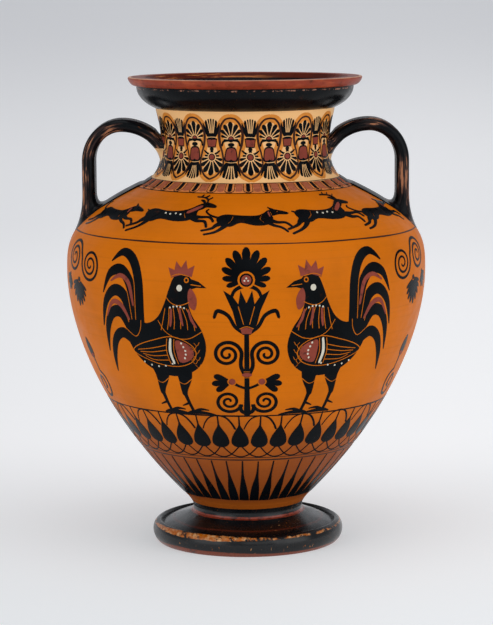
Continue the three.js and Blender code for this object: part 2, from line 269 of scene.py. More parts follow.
def neck_side():
    height = NECK_TOP - NECK_BASE
    waist = (NECK_WAIST_RADIUS, NECK_BASE + height * WAIST_SHARE)
    below, above = ((waist[0], waist[1] + height * pull) for pull in (-WAIST_PULL, WAIST_PULL))
    spread, flare = NECK_FOOT_RADIUS - NECK_WAIST_RADIUS, NECK_TOP_RADIUS - NECK_WAIST_RADIUS
    foot_pull = (NECK_WAIST_RADIUS + spread * 0.16, NECK_FOOT + height * 0.1)
    lower = cubic((NECK_FOOT_RADIUS, NECK_FOOT), foot_pull, below, waist, 28, False)
    top_pull = (NECK_TOP_RADIUS - flare * 0.33, NECK_TOP - height * 0.125)
    upper = cubic(waist, above, top_pull, (NECK_TOP_RADIUS, NECK_TOP), 20)
    return lower + upper


SIDE = Outline(lower_side() + shoulder_side() + neck_side())
SHOULDER = Outline(shoulder_side())


def shoulder_height(radius):
    return float(np.interp(-radius, -SHOULDER.r, SHOULDER.z))


def body_outline():
    """The body's wall as one loop from the axis under it to the axis on its floor."""
    floor = BODY_BASE + FLOOR_THICKNESS
    bore = NECK_WAIST_RADIUS - NECK_WALL
    inner = moved_inwards(lower_side()[:-1] + shoulder_side(), BODY_WALL)
    wall = [p for p in inner[::2] if p[1] > floor + BODY_WALL]
    bowl = cubic((0, floor), (wall[0][0] * 0.5, floor), (wall[0][0] * 0.85, floor + 1), wall[0], 12, False)
    outer = [(0, COLLAR_TOP), (BASE_RADIUS, COLLAR_TOP)] + lower_side() + shoulder_side()
    return outer + [(bore, NECK_BASE), (bore, wall[-1][1])] + (bowl + wall)[::-1]


def neck_outline():
    """The neck's wall as a closed loop: up the outside, down the bore."""
    bore, waist = NECK_WAIST_RADIUS - NECK_WALL, NECK_BASE + (NECK_TOP - NECK_BASE) * WAIST_SHARE
    inside_top = (NECK_TOP_RADIUS - NECK_WALL, NECK_TOP)
    flare_pull = (bore, NECK_TOP - (NECK_TOP - waist) * 0.4)
    inside = cubic((bore, waist), flare_pull, (inside_top[0], NECK_TOP - FLANGE_STEP), inside_top, 12)
    return [(NECK_FOOT_RADIUS, NECK_BASE)] + neck_side() + inside[::-1] + [(bore, NECK_BASE)]


def arc(centre, radius, start, end, steps):
    """Points of a round edge between two angles in degrees."""
    angles = [math.radians(start + (end - start) * i / steps) for i in range(steps + 1)]
    return [(centre[0] + radius * math.cos(a), centre[1] + radius * math.sin(a)) for a in angles]


def mouth_outline():
    """The lip as a closed loop, and the finish of each stretch of it."""
    flange_base = MOUTH_TOP - FLANGE_HEIGHT
    run, rise = BOWL_RADIUS - NECK_TOP_RADIUS, flange_base - NECK_TOP
    bowl = cubic(
        (NECK_TOP_RADIUS, NECK_TOP),
        (NECK_TOP_RADIUS + run * 0.42, NECK_TOP + rise * 0.15),
        (BOWL_RADIUS, NECK_TOP + rise * 0.5),
        (BOWL_RADIUS, flange_base),
        20,
    )
    flange_foot = (BOWL_RADIUS + FLANGE_STEP, flange_base + FLANGE_STEP / 2)
    rim = arc((MOUTH_RADIUS - EDGE_ROUND, MOUTH_TOP - EDGE_ROUND), EDGE_ROUND, 0, 90, 5)
    flange = cubic(
        flange_foot,
        (flange_foot[0] + FLANGE_STEP * 3.7, flange_base + FLANGE_HEIGHT * 0.1),
        (MOUTH_RADIUS - FLANGE_STEP, MOUTH_TOP - FLANGE_HEIGHT * 0.53),
        rim[0],
        12,
        False,
    )
    inner_edge = MOUTH_RADIUS - RIM_FLAT
    inner_round = arc((inner_edge, MOUTH_TOP - EDGE_ROUND), EDGE_ROUND, 90, 150, 4)
    throat = (NECK_TOP_RADIUS - NECK_WALL, NECK_TOP)
    inside = cubic(
        inner_round[-1],
        (throat[0] + run * 0.7, MOUTH_TOP - INSIDE_DROP),
        (throat[0] + run * 0.2, NECK_TOP + INSIDE_DROP),
        throat,
        16,
    )
    stretches = [(bowl, 0), (flange + rim + inner_round[:-1], 1), (inside, 2)]
    line = [p for points, _ in stretches for p in points]
    return line, [kind for points, kind in stretches for _ in points]


def foot_outline():
    """The foot from the axis under it to the axis on top."""
    hollow = FOOT_TOP - FOOT_THICKNESS
    drop = CREST_HEIGHT * 0.28
    pull = FOOT_NOMINAL_RADIUS + (FOOT_NOMINAL_RADIUS - REST_OUTER_RADIUS) * 0.5
    crease = (CREASE_RADIUS - CREASE_WIDTH, CREASE_HEIGHT)
    crest_run, crest_rise = CREST_RADIUS - CREASE_RADIUS, CREST_HEIGHT - CREASE_HEIGHT
    run, rise = crease[0] - FOOT_TOP_RADIUS, FOOT_TOP - CREASE_HEIGHT
    under = cubic(
        (REST_INNER_RADIUS * 0.45, hollow),
        (REST_INNER_RADIUS * 0.8, hollow * 0.9),
        (REST_INNER_RADIUS * 0.95, hollow * 0.3),
        (REST_INNER_RADIUS, 0),
        16,
    )
    edge = cubic(
        (REST_OUTER_RADIUS, 0),
        (pull, drop),
        (pull, CREST_HEIGHT - drop / 2),
        (CREST_RADIUS, CREST_HEIGHT),
        20,
    )
    groove = cubic(
        (CREST_RADIUS - crest_run * 0.1, CREST_HEIGHT + crest_rise * 0.05),
        (CREST_RADIUS - crest_run * 0.45, CREST_HEIGHT + crest_rise * 0.2),
        (CREASE_RADIUS + crest_run * 0.1, CREASE_HEIGHT + crest_rise * 0.85),
        (CREASE_RADIUS, CREASE_HEIGHT),
        10,
    )
    cone = cubic(
        crease,
        (crease[0] - run * 0.27, CREASE_HEIGHT + rise * 0.4),
        (FOOT_TOP_RADIUS + run * 0.32, CREASE_HEIGHT + rise * 0.58),
        (FOOT_TOP_RADIUS, FOOT_TOP),
        24,
    )
    return [(0, hollow)] + under + edge + groove + cone + [(0, FOOT_TOP)]


def collar_outline():
    """The collar between foot and body as a closed loop, and its finishes: 0 is slip, 1 is bare clay."""
    bore, waist = FOOT_TOP_RADIUS - 9, FOOT_TOP_RADIUS - COLLAR_WAIST
    height = COLLAR_TOP - COLLAR_BASE
    face = cubic(
        (FOOT_TOP_RADIUS, FOOT_TOP),
        (waist, COLLAR_BASE + height / 3),
        (waist, COLLAR_BASE + height / 2),
        (BASE_RADIUS, COLLAR_TOP),
        20,
    )
    line = face + [(bore, COLLAR_TOP), (bore, FOOT_TOP)]
    return line, [int(z >= SLIP_EDGE) for _, z in line]


# Meshes


def new_piece(name, points, faces, finishes, finish_of_face=None):
    """A mesh object whose points are given in millimetres."""
    mesh = bpy.data.meshes.new(name)
    mesh.from_pydata([tuple(value * MM for value in point) for point in points], [], faces)
    for finish in finishes:
        mesh.materials.append(finish)
    if finish_of_face is not None:
        mesh.polygons.foreach_set("material_index", finish_of_face)
    mesh.shade_smooth()
    mesh.set_sharp_from_angle(angle=SHARP_ANGLE)
    piece = bpy.data.objects.new(name, mesh)
    bpy.context.scene.collection.objects.link(piece)
    return piece


def between(lower, upper):
    """Faces between two loops of point numbers, either of which may be one point again and again."""
    corners = zip(lower, lower[1:] + lower[:1], upper[1:] + upper[:1], upper)
    return [tuple(dict.fromkeys(face)) for face in corners]


def turned(name, line, finishes, kinds=None):
    """A closed solid of revolution. Its line runs up the outside and ends on the axis or at its own start."""
    points, rings = [], []
    for r, z in line:
        start = len(points)
        if r == 0:
            points.append((0, 0, z))
            rings.append([start] * ROUND_STEPS)
            continue
        for i in range(ROUND_STEPS):
            turn = 2 * math.pi * i / ROUND_STEPS
            points.append((r * math.cos(turn), r * math.sin(turn), z))
        rings.append(list(range(start, start + ROUND_STEPS)))
    closed = line[0][0] != 0
    faces, finish_of_face = [], []
    for k in range(len(rings) if closed else len(rings) - 1):
        faces += between(rings[k], rings[(k + 1) % len(rings)])
        finish_of_face += [kinds[k] if kinds else 0] * ROUND_STEPS
    return new_piece(name, points, faces, finishes, finish_of_face)


def settle(piece, slot, *nodes):
    """Makes a piece part of the jar, in place of the CAD nodes that it stands for."""
    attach(piece, "root")
    if nodes:
        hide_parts(*nodes)


# Handles


def handle_stations():
    """Sections along the right handle from the shoulder to the neck.

    Each is (radius, height, direction of travel, half depth, half width, share of the way to a plain oval,
    share of the root's widening).
    """
    half_width = REED_PITCH + REED_RADIUS
    fall = shoulder_height(HANDLE_REACH + REED_RADIUS) - shoulder_height(HANDLE_REACH - REED_RADIUS)
    slope = math.atan(fall / (2 * REED_RADIUS))
    landing = shoulder_height(HANDLE_REACH)
    stations = []

    def root(t, start, end, turn_start, turn_end, reach, width):
        spread = 1 - math.sqrt(max(1 - t * t, 0))
        middle = [a + (b - a) * t for a, b in zip(start, end)]
        depth = REED_RADIUS + (reach - REED_RADIUS) * spread
        half = half_width + (width - half_width) * spread
        turn = turn_start + (turn_end - turn_start) * t
        stations.append((*middle, turn, depth, half, t * t * (3 - 2 * t), spread))

    for k in range(ROOT_STEPS):
        t = math.cos(math.pi / 2 * k / ROOT_STEPS)
        start, end = (HANDLE_REACH, LOWER_WAD_TOP), (HANDLE_REACH, landing)
        root(t, start, end, math.pi / 2, math.pi / 2 + slope, LOWER_ROOT_REACH, LOWER_ROOT_HALF_WIDTH)
    elbow = CROWN - ELBOW_HEIGHT
    crown_reach = HANDLE_REACH - (HANDLE_REACH - NECK_WAIST_RADIUS) * ELBOW_SHARE
    arch_run = crown_reach - NECK_WAIST_RADIUS
    arch_radius = (arch_run**2 + ARCH_DROP**2) / (2 * ARCH_DROP)
    plain = (REED_RADIUS, half_width, 0, 0)
    for i in range(LIMB_STEPS):
        height = LOWER_WAD_TOP + (elbow - LOWER_WAD_TOP) * i / LIMB_STEPS
        stations.append((HANDLE_REACH, height, math.pi / 2, *plain))
    for i in range(ELBOW_STEPS):
        turn = math.pi / 2 * i / ELBOW_STEPS
        run = HANDLE_REACH - crown_reach
        direction = math.atan2(ELBOW_HEIGHT * math.cos(turn), -run * math.sin(turn))
        place = (crown_reach + run * math.cos(turn), elbow + ELBOW_HEIGHT * math.sin(turn))
        stations.append((*place, direction, *plain))

    def arch_point(angle):
        return crown_reach - arch_radius * math.sin(angle), CROWN - arch_radius * (1 - math.cos(angle))

    last_height = arch_point(math.asin(arch_run / arch_radius))[1]
    neck_radius = float(SIDE.at_height(last_height)[0])
    arch_end = math.asin((crown_reach - neck_radius - UPPER_ROOT_LENGTH) / arch_radius)
    for i in range(ARCH_STEPS):
        angle = arch_end * i / ARCH_STEPS
        stations.append((*arch_point(angle), math.pi + angle, *plain))
    contact = arch_point(math.asin((crown_reach - neck_radius) / arch_radius))
    for k in range(ROOT_STEPS + 1):
        t = math.sin(math.pi / 2 * k / ROOT_STEPS)
        start, end = arch_point(arch_end), (neck_radius, contact[1])
        root(t, start, end, math.pi + arch_end, math.pi, UPPER_ROOT_REACH, UPPER_ROOT_HALF_WIDTH)
    return stations


def reeded_section():
    """Three reeds side by side, as shares of half depth and half width, with how proud each point is."""
    half_width = REED_PITCH + REED_RADIUS
    upper = []
    for i in range(REED_STEPS):
        a = math.pi / 2 * i / REED_STEPS
        upper.append((math.sin(a), (REED_PITCH + REED_RADIUS * math.cos(a)) / half_width, 1))
    for reed in (1, 0, -1):
        for i in range(2 * REED_STEPS):
            a = math.pi * i / (2 * REED_STEPS)
            if (reed == 1 and a < math.pi / 2) or (reed == -1 and a >= math.pi / 2):
                continue
            rise = math.sin(a)
            across = REED_PITCH * (reed + math.cos(a) / 2) / half_width
            upper.append((GROOVE_SHARE + (1 - GROOVE_SHARE) * rise, across, rise))
    for i in range(REED_STEPS):
        a = math.pi / 2 * (1 + i / REED_STEPS)
        upper.append((math.sin(a), (-REED_PITCH + REED_RADIUS * math.cos(a)) / half_width, 1))
    return upper + [(-u, -w, proud) for u, w, proud in upper]


def handle_mesh(side):
    """Points, faces, crest values and places along a handle; side is 1 for the right, -1 for the left."""
    section = reeded_section()
    stations = handle_stations()
    points, crests, runs = [], [], []
    middle, last = len(stations) // 2, len(stations) - 1
    travelled = RUN_BETWEEN_HANDLES if side > 0 else 0
    for k, (r, z, direction, depth, half, plain, spread) in enumerate(stations):
        before = stations[max(k - 1, 0)]
        travelled += math.hypot(r - before[0], z - before[1])
        for u, w, proud in section:
            angle = math.atan2(u, w)
            shares = (math.sin(angle), math.cos(angle))
            oval_u, oval_w = (math.copysign(abs(share) ** OVAL_FULLNESS, share) for share in shares)
            out = depth * (u + (oval_u - u) * plain)
            if out < 0:
                out *= 1 + ((LOWER_ROOT_INNER_SHARE if k < middle else UPPER_ROOT_UNDER_SHARE) - 1) * spread
            across = half * (w + (oval_w - w) * plain)
            x, height = r + out * math.sin(direction), z - out * math.cos(direction)
            if spread > 0 and k < middle:
                wall = shoulder_height(math.hypot(x, across))
                flat = z + (x - r) * math.tan(direction - math.pi / 2)
                height += (wall - flat) * spread**2
            elif spread > 0:
                wall = math.sqrt(float(SIDE.at_height(height)[0]) ** 2 - across**2)
                x += (wall - r) * spread**2
            points.append((side * x, across, height))
            crests.append(proud * (1 - plain))
            runs.append((out * MM, across * MM, travelled * MM))
    count = len(section)
    lower_end = [(x, y, z - SUNK) for x, y, z in points[:count]]
    upper_end = [(x - side * SUNK, y, z) for x, y, z in points[last * count :]]
    rings = [lower_end] + [points[k * count : (k + 1) * count] for k in range(last + 1)] + [upper_end]
    points = [p for ring in rings for p in ring]
    crests = [0] * count + crests + [0] * count
    runs = runs[:count] + runs + runs[-count:]
    loops = [list(range(start, start + count)) for start in range(0, len(points), count)]
    faces = [face for lower, upper in zip(loops, loops[1:]) for face in between(lower, upper)]
    for start, turn in ((0, -1), (len(points) - count, 1)):
        centre = len(points)
        ring = points[start : start + count]
        points.append(tuple(sum(p[a] for p in ring) / count for a in range(3)))
        crests.append(0)
        runs.append(runs[start])
        for i in range(count):
            corners = (start + i, start + (i + 1) % count, centre)
            faces.append(corners[::turn])
    if side > 0:
        faces = [face[::-1] for face in faces]
    return points, faces, crests, runs


# Materials

VECTOR, COLOUR, NUMBER = "NodeSocketVector", "NodeSocketColor", "NodeSocketFloat"

# Tones that wear gives, beside the colours of the settings; the lip's pale edge is partly a painted highlight
DUST = srgb(190, 150, 110)
REED_BROWN = srgb(72, 52, 48)
REED_PALE = srgb(184, 124, 88)
FOOT_RUST = srgb(126, 58, 34)
FLANGE_CHIPS = srgb(176, 122, 98)
LIP_ORANGE = srgb(188, 88, 50)
# Pale tone on the lip's outer top edge: partly rubbed clay, partly a painted highlight
LIP_EDGE_WEAR_AND_HIGHLIGHT = srgb(220, 168, 132)
THROAT_SCRATCH = srgb(206, 128, 70)

# Tones of thinned washes, painted beside the slips of the settings
AMBER_WASH = srgb(236, 148, 56)
ORANGE_GROUND = srgb(228, 138, 72)
FADED_RED = srgb(178, 98, 66)


class Term:
    """A value in a node tree; sums with it add their math nodes to that tree."""

    def __init__(self, socket):
        self.socket, self.tree = socket, socket.id_data

    def into(self, kind, values, output=None, **settings):
        """What a new node makes of some values."""
        outputs = put(self.tree, kind, values, **settings).outputs
        return Term(socket_named(outputs, output) if output else outputs[0])

    def maths(self, operation, other=0.0):
        return self.into("ShaderNodeMath", {"Value": self, "Value_001": other}, operation=operation)

    def __add__(self, other):
        return self.maths("ADD", other)

    def __sub__(self, other):
        return self.maths("SUBTRACT", other)

    def __mul__(self, other):
        return self.maths("MULTIPLY", other)

    def __truediv__(self, other):
        return self.maths("DIVIDE", other)

    def __abs__(self):
        return self.maths("ABSOLUTE")


def socket_named(sockets, key):
    return next(socket for socket in sockets if key in (socket.identifier, socket.name))


def feed(inputs, values):
    """Sets sockets, given by name or identifier, to numbers and colours, or links them to terms."""
    for key, value in values.items():
        socket = socket_named(inputs, key)
        if isinstance(value, Term):
            value.tree.links.new(value.socket, socket)
        else:
            socket.default_value = value


def put(tree, kind, values=None, **settings):
    """Adds a node with its settings and the values of its inputs."""
    node = tree.nodes.new(kind)
    for key, value in settings.items():
        setattr(node, key, value)
    feed(node.inputs, values or {})
    return node


def larger(a, b):
    return a.maths("MAXIMUM", b)


def mixed(share, a, b):
    """Colour b over colour a by a share."""
    term = next(value for value in (share, a, b) if isinstance(value, Term))
    values = {"Factor_Float": share, "A_Color": a, "B_Color": b}
    return term.into("ShaderNodeMix", values, "Result_Color", data_type="RGBA")


def ramped(value, low, high, to_low=0.0, to_high=1.0):
    """A value eased from one range to another and held at its ends."""
    values = {"Value": value, "From Min": low, "From Max": high, "To Min": to_low, "To Max": to_high}
    return value.into("ShaderNodeMapRange", values, interpolation_type="SMOOTHSTEP")


def noise(vector, scale, detail=3.0, roughness=0.55):
    values = {"Vector": vector, "Scale": scale, "Detail": detail, "Roughness": roughness}
    return vector.into("ShaderNodeTexNoise", values, "Fac")


def streaks(vector, scale, detail, roughness=0.55):
    """Noise drawn out by a scale of its own for each axis."""
    return noise(stretched(vector, scale), 1.0, detail, roughness)


def stretched(vector, scale):
    return vector.into("ShaderNodeMapping", {"Vector": vector, "Scale": scale})


def split(vector):
    """The X, Y and Z of a vector."""
    return [Term(socket) for socket in put(vector.tree, "ShaderNodeSeparateXYZ", {"Vector": vector}).outputs]


def radius_of(vector):
    """Distance from the jar's axis in millimetres."""
    flat = {"Vector": stretched(vector, (1.0, 1.0, 0.0))}
    return vector.into("ShaderNodeVectorMath", flat, "Value", operation="LENGTH") / MM


def clay_tone(given):
    """Cloudy fired clay: soft patches, faint lines from the wheel and small specks."""
    clouds = noise(given["Vector"], given["Cloud Scale"], 4.0, 0.6)
    rings = streaks(given["Vector"], (5.0, 5.0, 420.0), 3.0, 0.6)
    grain = noise(given["Vector"], 700.0, 2.0)
    colour = given["Clay"]
    for spots, low, high, amount, tone in (
        (clouds, 0.5, 0.72, "Cloud Amount", "Light"),
        (clouds, 0.5, 0.28, "Cloud Amount", "Dark"),
        (rings, 0.55, 0.75, "Wheel Amount", "Light"),
        (rings, 0.45, 0.25, "Wheel Amount", "Dark"),
        (grain, 0.66, 0.74, "Speck Amount", "Dark"),
    ):
        colour = mixed(ramped(spots, low, high) * given[amount], colour, given[tone])
    return {"Color": colour}


def slip_wear(given):
    """Where slip is rubbed off: broken patches that favour crests, and small chips."""
    level = noise(given["Vector"], given["Patch Scale"], 6.0, 0.7) + given["Crest"] * given["Amount"]
    chips = ramped(noise(given["Vector"], 420.0, 3.0, 0.65), 0.68, 0.72) * given["Chips"]
    return {"Thin": larger(ramped(level, 0.6, 0.78), chips), "Bare": larger(ramped(level, 0.74, 0.82), chips)}


def worn_edge(given):
    """Bare clay along one level ring, broken up and wider where Weight is high."""
    wobble = noise(given["Vector"], 70.0, 4.0) - 0.5
    height = split(given["Vector"])[2] + wobble * (given["Half Width"] * 4.0)
    reach = given["Half Width"] * (given["Weight"] * 2.2 + 1.0)
    edge = ramped(abs(height - given["Level"]) - reach, 0.0004, 0.0)
    crumbs = noise(given["Vector"], given["Scale"], 7.0, 0.72) + given["Weight"] * 0.07 - given["Gaps"]
    return {"Bare": edge * ramped(crumbs, 0.0, 0.03)}


def surface_grain(given):
    """Surface relief: fine grain and shallow ridges left by the wheel."""
    fine = noise(given["Vector"], given["Grain Scale"]) * given["Grain Depth"]
    height = fine + streaks(given["Vector"], (3.0, 3.0, 130.0), 2.0) * given["Ridge Depth"]
    return {"Normal": height.into("ShaderNodeBump", {"Height": height, "Strength": 1.0, "Distance": 1.0})}


# Each shared effect: what fills its node group, the inputs (a kind, or a number's default) and the outputs
EFFECTS = {
    "Fired clay tone": (
        clay_tone,
        {"Vector": VECTOR, "Clay": COLOUR, "Light": COLOUR, "Dark": COLOUR}
        | {"Cloud Scale": 14.0, "Cloud Amount": 0.5, "Wheel Amount": 0.25, "Speck Amount": 0.5},
        {"Color": COLOUR},
    ),
    "Slip wear": (
        slip_wear,
        {"Vector": VECTOR, "Crest": 0.0, "Patch Scale": 60.0, "Amount": 0.3, "Chips": 0.3},
        {"Thin": NUMBER, "Bare": NUMBER},
    ),
    "Worn edge": (
        worn_edge,
        {"Vector": VECTOR, "Level": 0.0, "Half Width": 0.0008, "Scale": 150.0, "Weight": 0.0, "Gaps": 0.5},
        {"Bare": NUMBER},
    ),
    "Surface grain": (
        surface_grain,
        {"Vector": VECTOR, "Grain Scale": 900.0, "Grain Depth": 0.00004, "Ridge Depth": 0.00006},
        {"Normal": VECTOR},
    ),
}


def effect(name, vector, values=None):
    """What a shared effect gives at a vector; its node group is made at its first use."""
    fill, inputs, outputs = EFFECTS[name]
    if name not in bpy.data.node_groups:
        tree = bpy.data.node_groups.new(name, "ShaderNodeTree")
        for label, kind in inputs.items():
            socket_type = kind if isinstance(kind, str) else NUMBER
            socket = tree.interface.new_socket(label, in_out="INPUT", socket_type=socket_type)
            if kind != socket_type:
                socket.default_value = kind
        for label, kind in outputs.items():
            tree.interface.new_socket(label, in_out="OUTPUT", socket_type=kind)
        given = tree.nodes.new("NodeGroupInput").outputs
        feed(tree.nodes.new("NodeGroupOutput").inputs, fill({label: Term(given[label]) for label in inputs}))
    values = {"Vector": vector} | (values or {})
    node = put(vector.tree, "ShaderNodeGroup", values, node_tree=bpy.data.node_groups[name])
    return {label: Term(node.outputs[label]) for label in outputs}


def colours():
    return bpy.context.scene.amphora_colours


def new_material(name):
    """A material with the inputs of its Principled shader and its object coordinates."""
    material = bpy.data.materials.new(name)
    material.use_nodes = True
    nodes = material.node_tree.nodes
    return material, nodes["Principled BSDF"].inputs, Term(nodes.new("ShaderNodeTexCoord").outputs["Object"])


def attribute(vector, name, output):
    """A mesh attribute, in the tree of a vector."""
    return vector.into("ShaderNodeAttribute", {}, output, attribute_name=name)


def rgba(colour):
    return (*colour, 1.0)


def shaded(colour, factor):
    return (*(value * factor for value in colour), 1.0)


def clay_material(name, clay, clouds, wheel):
    """Burnished clay. Towards the foot the kiln has reddened and darkened it."""
    material, shader, vector = new_material(name)
    tones = {"Clay": rgba(clay), "Light": shaded(clay, 1.16), "Dark": shaded(clay, 0.72)}
    tone = effect("Fired clay tone", vector, tones | {"Cloud Amount": clouds, "Wheel Amount": wheel})
    height = split(vector)[2]
    low = ramped(height + noise(vector, 18.0) * 0.05, 0.19, 0.1)
    share = low * ramped(height, 0.042, 0.048, 0.62, 0.85)
    values = {
        "Base Color": mixed(share, tone["Color"], rgba(colours().burnt_clay)),
        "Roughness": ramped(noise(vector, 90.0), 0.3, 0.7, 0.36, 0.5),
        "Specular IOR Level": 0.07,
    }
    feed(shader, values | effect("Surface grain", vector))
    return material


def slip_material(name, patch_scale, amount, chips, shine, over=None, along=False):
    """Black sintered slip, thinner and browner in patches; what over adds lies on it.

    With along, the patches follow the mesh's own places along it and favour its crests.
    """
    material, shader, place = new_material(name)
    vector = stretched(attribute(place, "run", "Vector"), (1.0, 1.0, 0.22)) if along else place
    values = {"Patch Scale": patch_scale, "Amount": amount, "Chips": chips}
    values["Crest"] = attribute(place, "crest", "Fac") if along else 1.0
    wear = effect("Slip wear", vector, values)
    cloud = ramped(noise(vector, 35.0, 4.0), 0.35, 0.7)
    colour = mixed(cloud, rgba(colours().slip), shaded(colours().slip, 0.55))
    colour = mixed(wear["Thin"], colour, rgba(colours().thin_slip))
    colour = mixed(wear["Bare"], colour, shaded(colours().clay, 0.62))
    gloss = ramped(noise(vector, 60.0, 4.0), 0.3, 0.7, 0.2, 0.34)
    values = {
        "Base Color": over(colour, place) if over else colour,
        "Roughness": gloss + wear["Thin"] * 0.22,
        "Specular IOR Level": shine,
    }
    feed(shader, values | effect("Surface grain", vector, {"Grain Scale": 500.0, "Ridge Depth": 0.00008}))
    return material


def added_material(name, colour, under, loss, roughness, over=None):
    """Matt colour laid over the slip and partly flaked off it; what over adds lies on it."""
    material, shader, vector = new_material(name)
    wear = effect("Slip wear", vector, {"Crest": 1.0, "Patch Scale": 150.0, "Amount": loss})
    body = mixed(ramped(noise(vector, 120.0, 4.0), 0.3, 0.7), shaded(colour, 0.82), rgba(colour))
    flaked = mixed(wear["Thin"] * 0.75, body, rgba(under))
    values = {
        "Base Color": over(flaked, vector) if over else flaked,
        "Roughness": roughness,
        "Specular IOR Level": 0.15,
    }
    feed(shader, values | effect("Surface grain", vector, {"Grain Depth": 0.00006}))
    return material


def chip_colour(vector):
    """Bare clay where slip has chipped off: pale and dusty, with darker specks."""
    pale = [(a + b) / 2 for a, b in zip(colours().neck_clay, DUST)]
    tone = mixed(ramped(noise(vector, 260.0, 4.0), 0.42, 0.75), shaded(colours().clay, 0.7), rgba(pale))
    specks = ramped(noise(vector, 600.0, 3.0, 0.7), 0.58, 0.66)
    return mixed(specks * 0.7, tone, rgba(colours().thin_slip))


def handle_wear(colour, vector):
    """Brown and pale streaks rubbed along the reeds; under the upper root the clay is bare."""
    x, _, z = split(vector)
    run = attribute(vector, "run", "Vector")
    broad = streaks(run, (75.0, 75.0, 24.0), 3.0, 0.6)
    level = streaks(run, (800.0, 800.0, 50.0), 3.0, 0.6) + (broad - 0.5) * 1.2
    level = level + ramped(x, -0.05, 0.05) * 0.03
    colour = mixed(ramped(level, 0.5, 0.68) * 0.75, colour, rgba(REED_BROWN))
    colour = mixed(ramped(level, 0.67, 0.75) * 0.9, colour, rgba(REED_PALE))
    bottom = ramped(x, -0.05, 0.05, RESERVED_LEFT, RESERVED_RIGHT)
    bare = ramped(z / MM - bottom, 0.4, -0.4) * ramped(abs(x), 0.115, 0.112)
    clay = colours().neck_clay
    return mixed(bare, colour, mixed(ramped(broad, 0.4, 0.6), rgba(clay), shaded(clay, 0.7)))


def foot_wear(colour, vector):
    """Red rings, and bare clay where edges have chipped, most of all at the front left."""
    red = colours().lip_red
    x, y, z = split(vector)
    wobble = (noise(vector, 55.0, 4.0) - 0.5) * 1.2
    height = z / MM + wobble
    weight = ramped(x, 0.03, -0.035) * ramped(y, -0.01, -0.06)

    def band(middle, half, soft):
        return ramped(abs(height - middle), half + soft, half)

    breaks = noise(vector, 150.0, 4.0)
    upper = band(FOOT_TOP + 0.3, 1.0, 0.5) * ramped(breaks, 0.2, 0.55)
    colour = mixed(upper * 0.9, colour, rgba(red))
    lower = ramped(height - weight * 1.6, 3.6, 2.4) * ramped(breaks, 0.25, 0.4)
    colour = mixed(lower, colour, rgba(FOOT_RUST))
    colour = mixed(band(20.4, 0.25, 0.4) * 0.3, colour, shaded(red, 0.6))
    values = {"Level": (CREST_HEIGHT - 2.1) * MM, "Half Width": 0.0006, "Weight": weight, "Gaps": 0.48}
    edge = effect("Worn edge", vector, values)["Bare"]
    edge = edge * ramped(radius_of(vector) + wobble, CREST_RADIUS - 0.5, CREST_RADIUS)
    flecks = streaks(vector, (300.0, 300.0, 130.0), 4.0, 0.65)
    low = ramped(height, 10.0, 8.0) * ramped(height, 3.0, 4.0)
    right = ramped(x, 0.0, 0.03) * ramped(height, 17.0, 20.0)
    low = larger(low, right * 0.6) * ramped(flecks, 0.63, 0.68)
    return mixed(larger(edge, low * 0.8), colour, chip_colour(vector))


def bowl_wear(colour, vector):
    """Chips along the step under the flange."""
    values = {"Level": (MOUTH_TOP - FLANGE_HEIGHT - 1.2) * MM, "Half Width": 0.0004, "Gaps": 0.53}
    return mixed(effect("Worn edge", vector, values)["Bare"] * 0.75, colour, rgba(FLANGE_CHIPS))


def lip_wear(colour, vector):
    """Clouds and streaks of orange; the flat top is darker, and its outer edge pale: partly rubbed, partly a
    painted highlight.
    """
    red = colours().lip_red
    clouds = streaks(vector, (34.0, 34.0, 160.0), 4.0, 0.6)
    colour = mixed(ramped(clouds, 0.52, 0.68) * 0.6, colour, rgba(LIP_ORANGE))
    colour = mixed(ramped(clouds, 0.46, 0.32) * 0.6, colour, shaded(red, 0.5))
    top = ramped(split(vector)[2] / MM, MOUTH_TOP - 0.7, MOUTH_TOP - 0.25)
    colour = mixed(top * 0.75, colour, shaded(red, 0.55))
    # The pale outer edge of the flat top is partly wear and partly a painted highlight
    rubbed = ramped(noise(vector, 45.0, 4.0), 0.35, 0.6, 0.35, 0.85)
    edge = ramped(radius_of(vector), MOUTH_RADIUS - 3.4, MOUTH_RADIUS - 2.2)
    return mixed(top * rubbed * edge, colour, rgba(LIP_EDGE_WEAR_AND_HIGHLIGHT))


def throat_wear(colour, vector):
    """Thin, red brown slip under the rim, scratched through in level lines."""
    x, _, z = split(vector)
    thin = ramped(z / MM, MOUTH_TOP - 5.6, MOUTH_TOP - 4.0)
    clouds = ramped(noise(vector, 26.0, 4.0), 0.35, 0.65, 0.55, 1.0)
    colour = mixed(thin * clouds, colour, shaded(colours().lip_red, 0.42))
    lines = streaks(vector, (24.0, 24.0, 520.0), 4.0, 0.65)
    scratched = ramped(lines, 0.53, 0.6) * ramped(x, 0.04, 0.0) * thin
    return mixed(scratched * 0.7, colour, rgba(THROAT_SCRATCH))


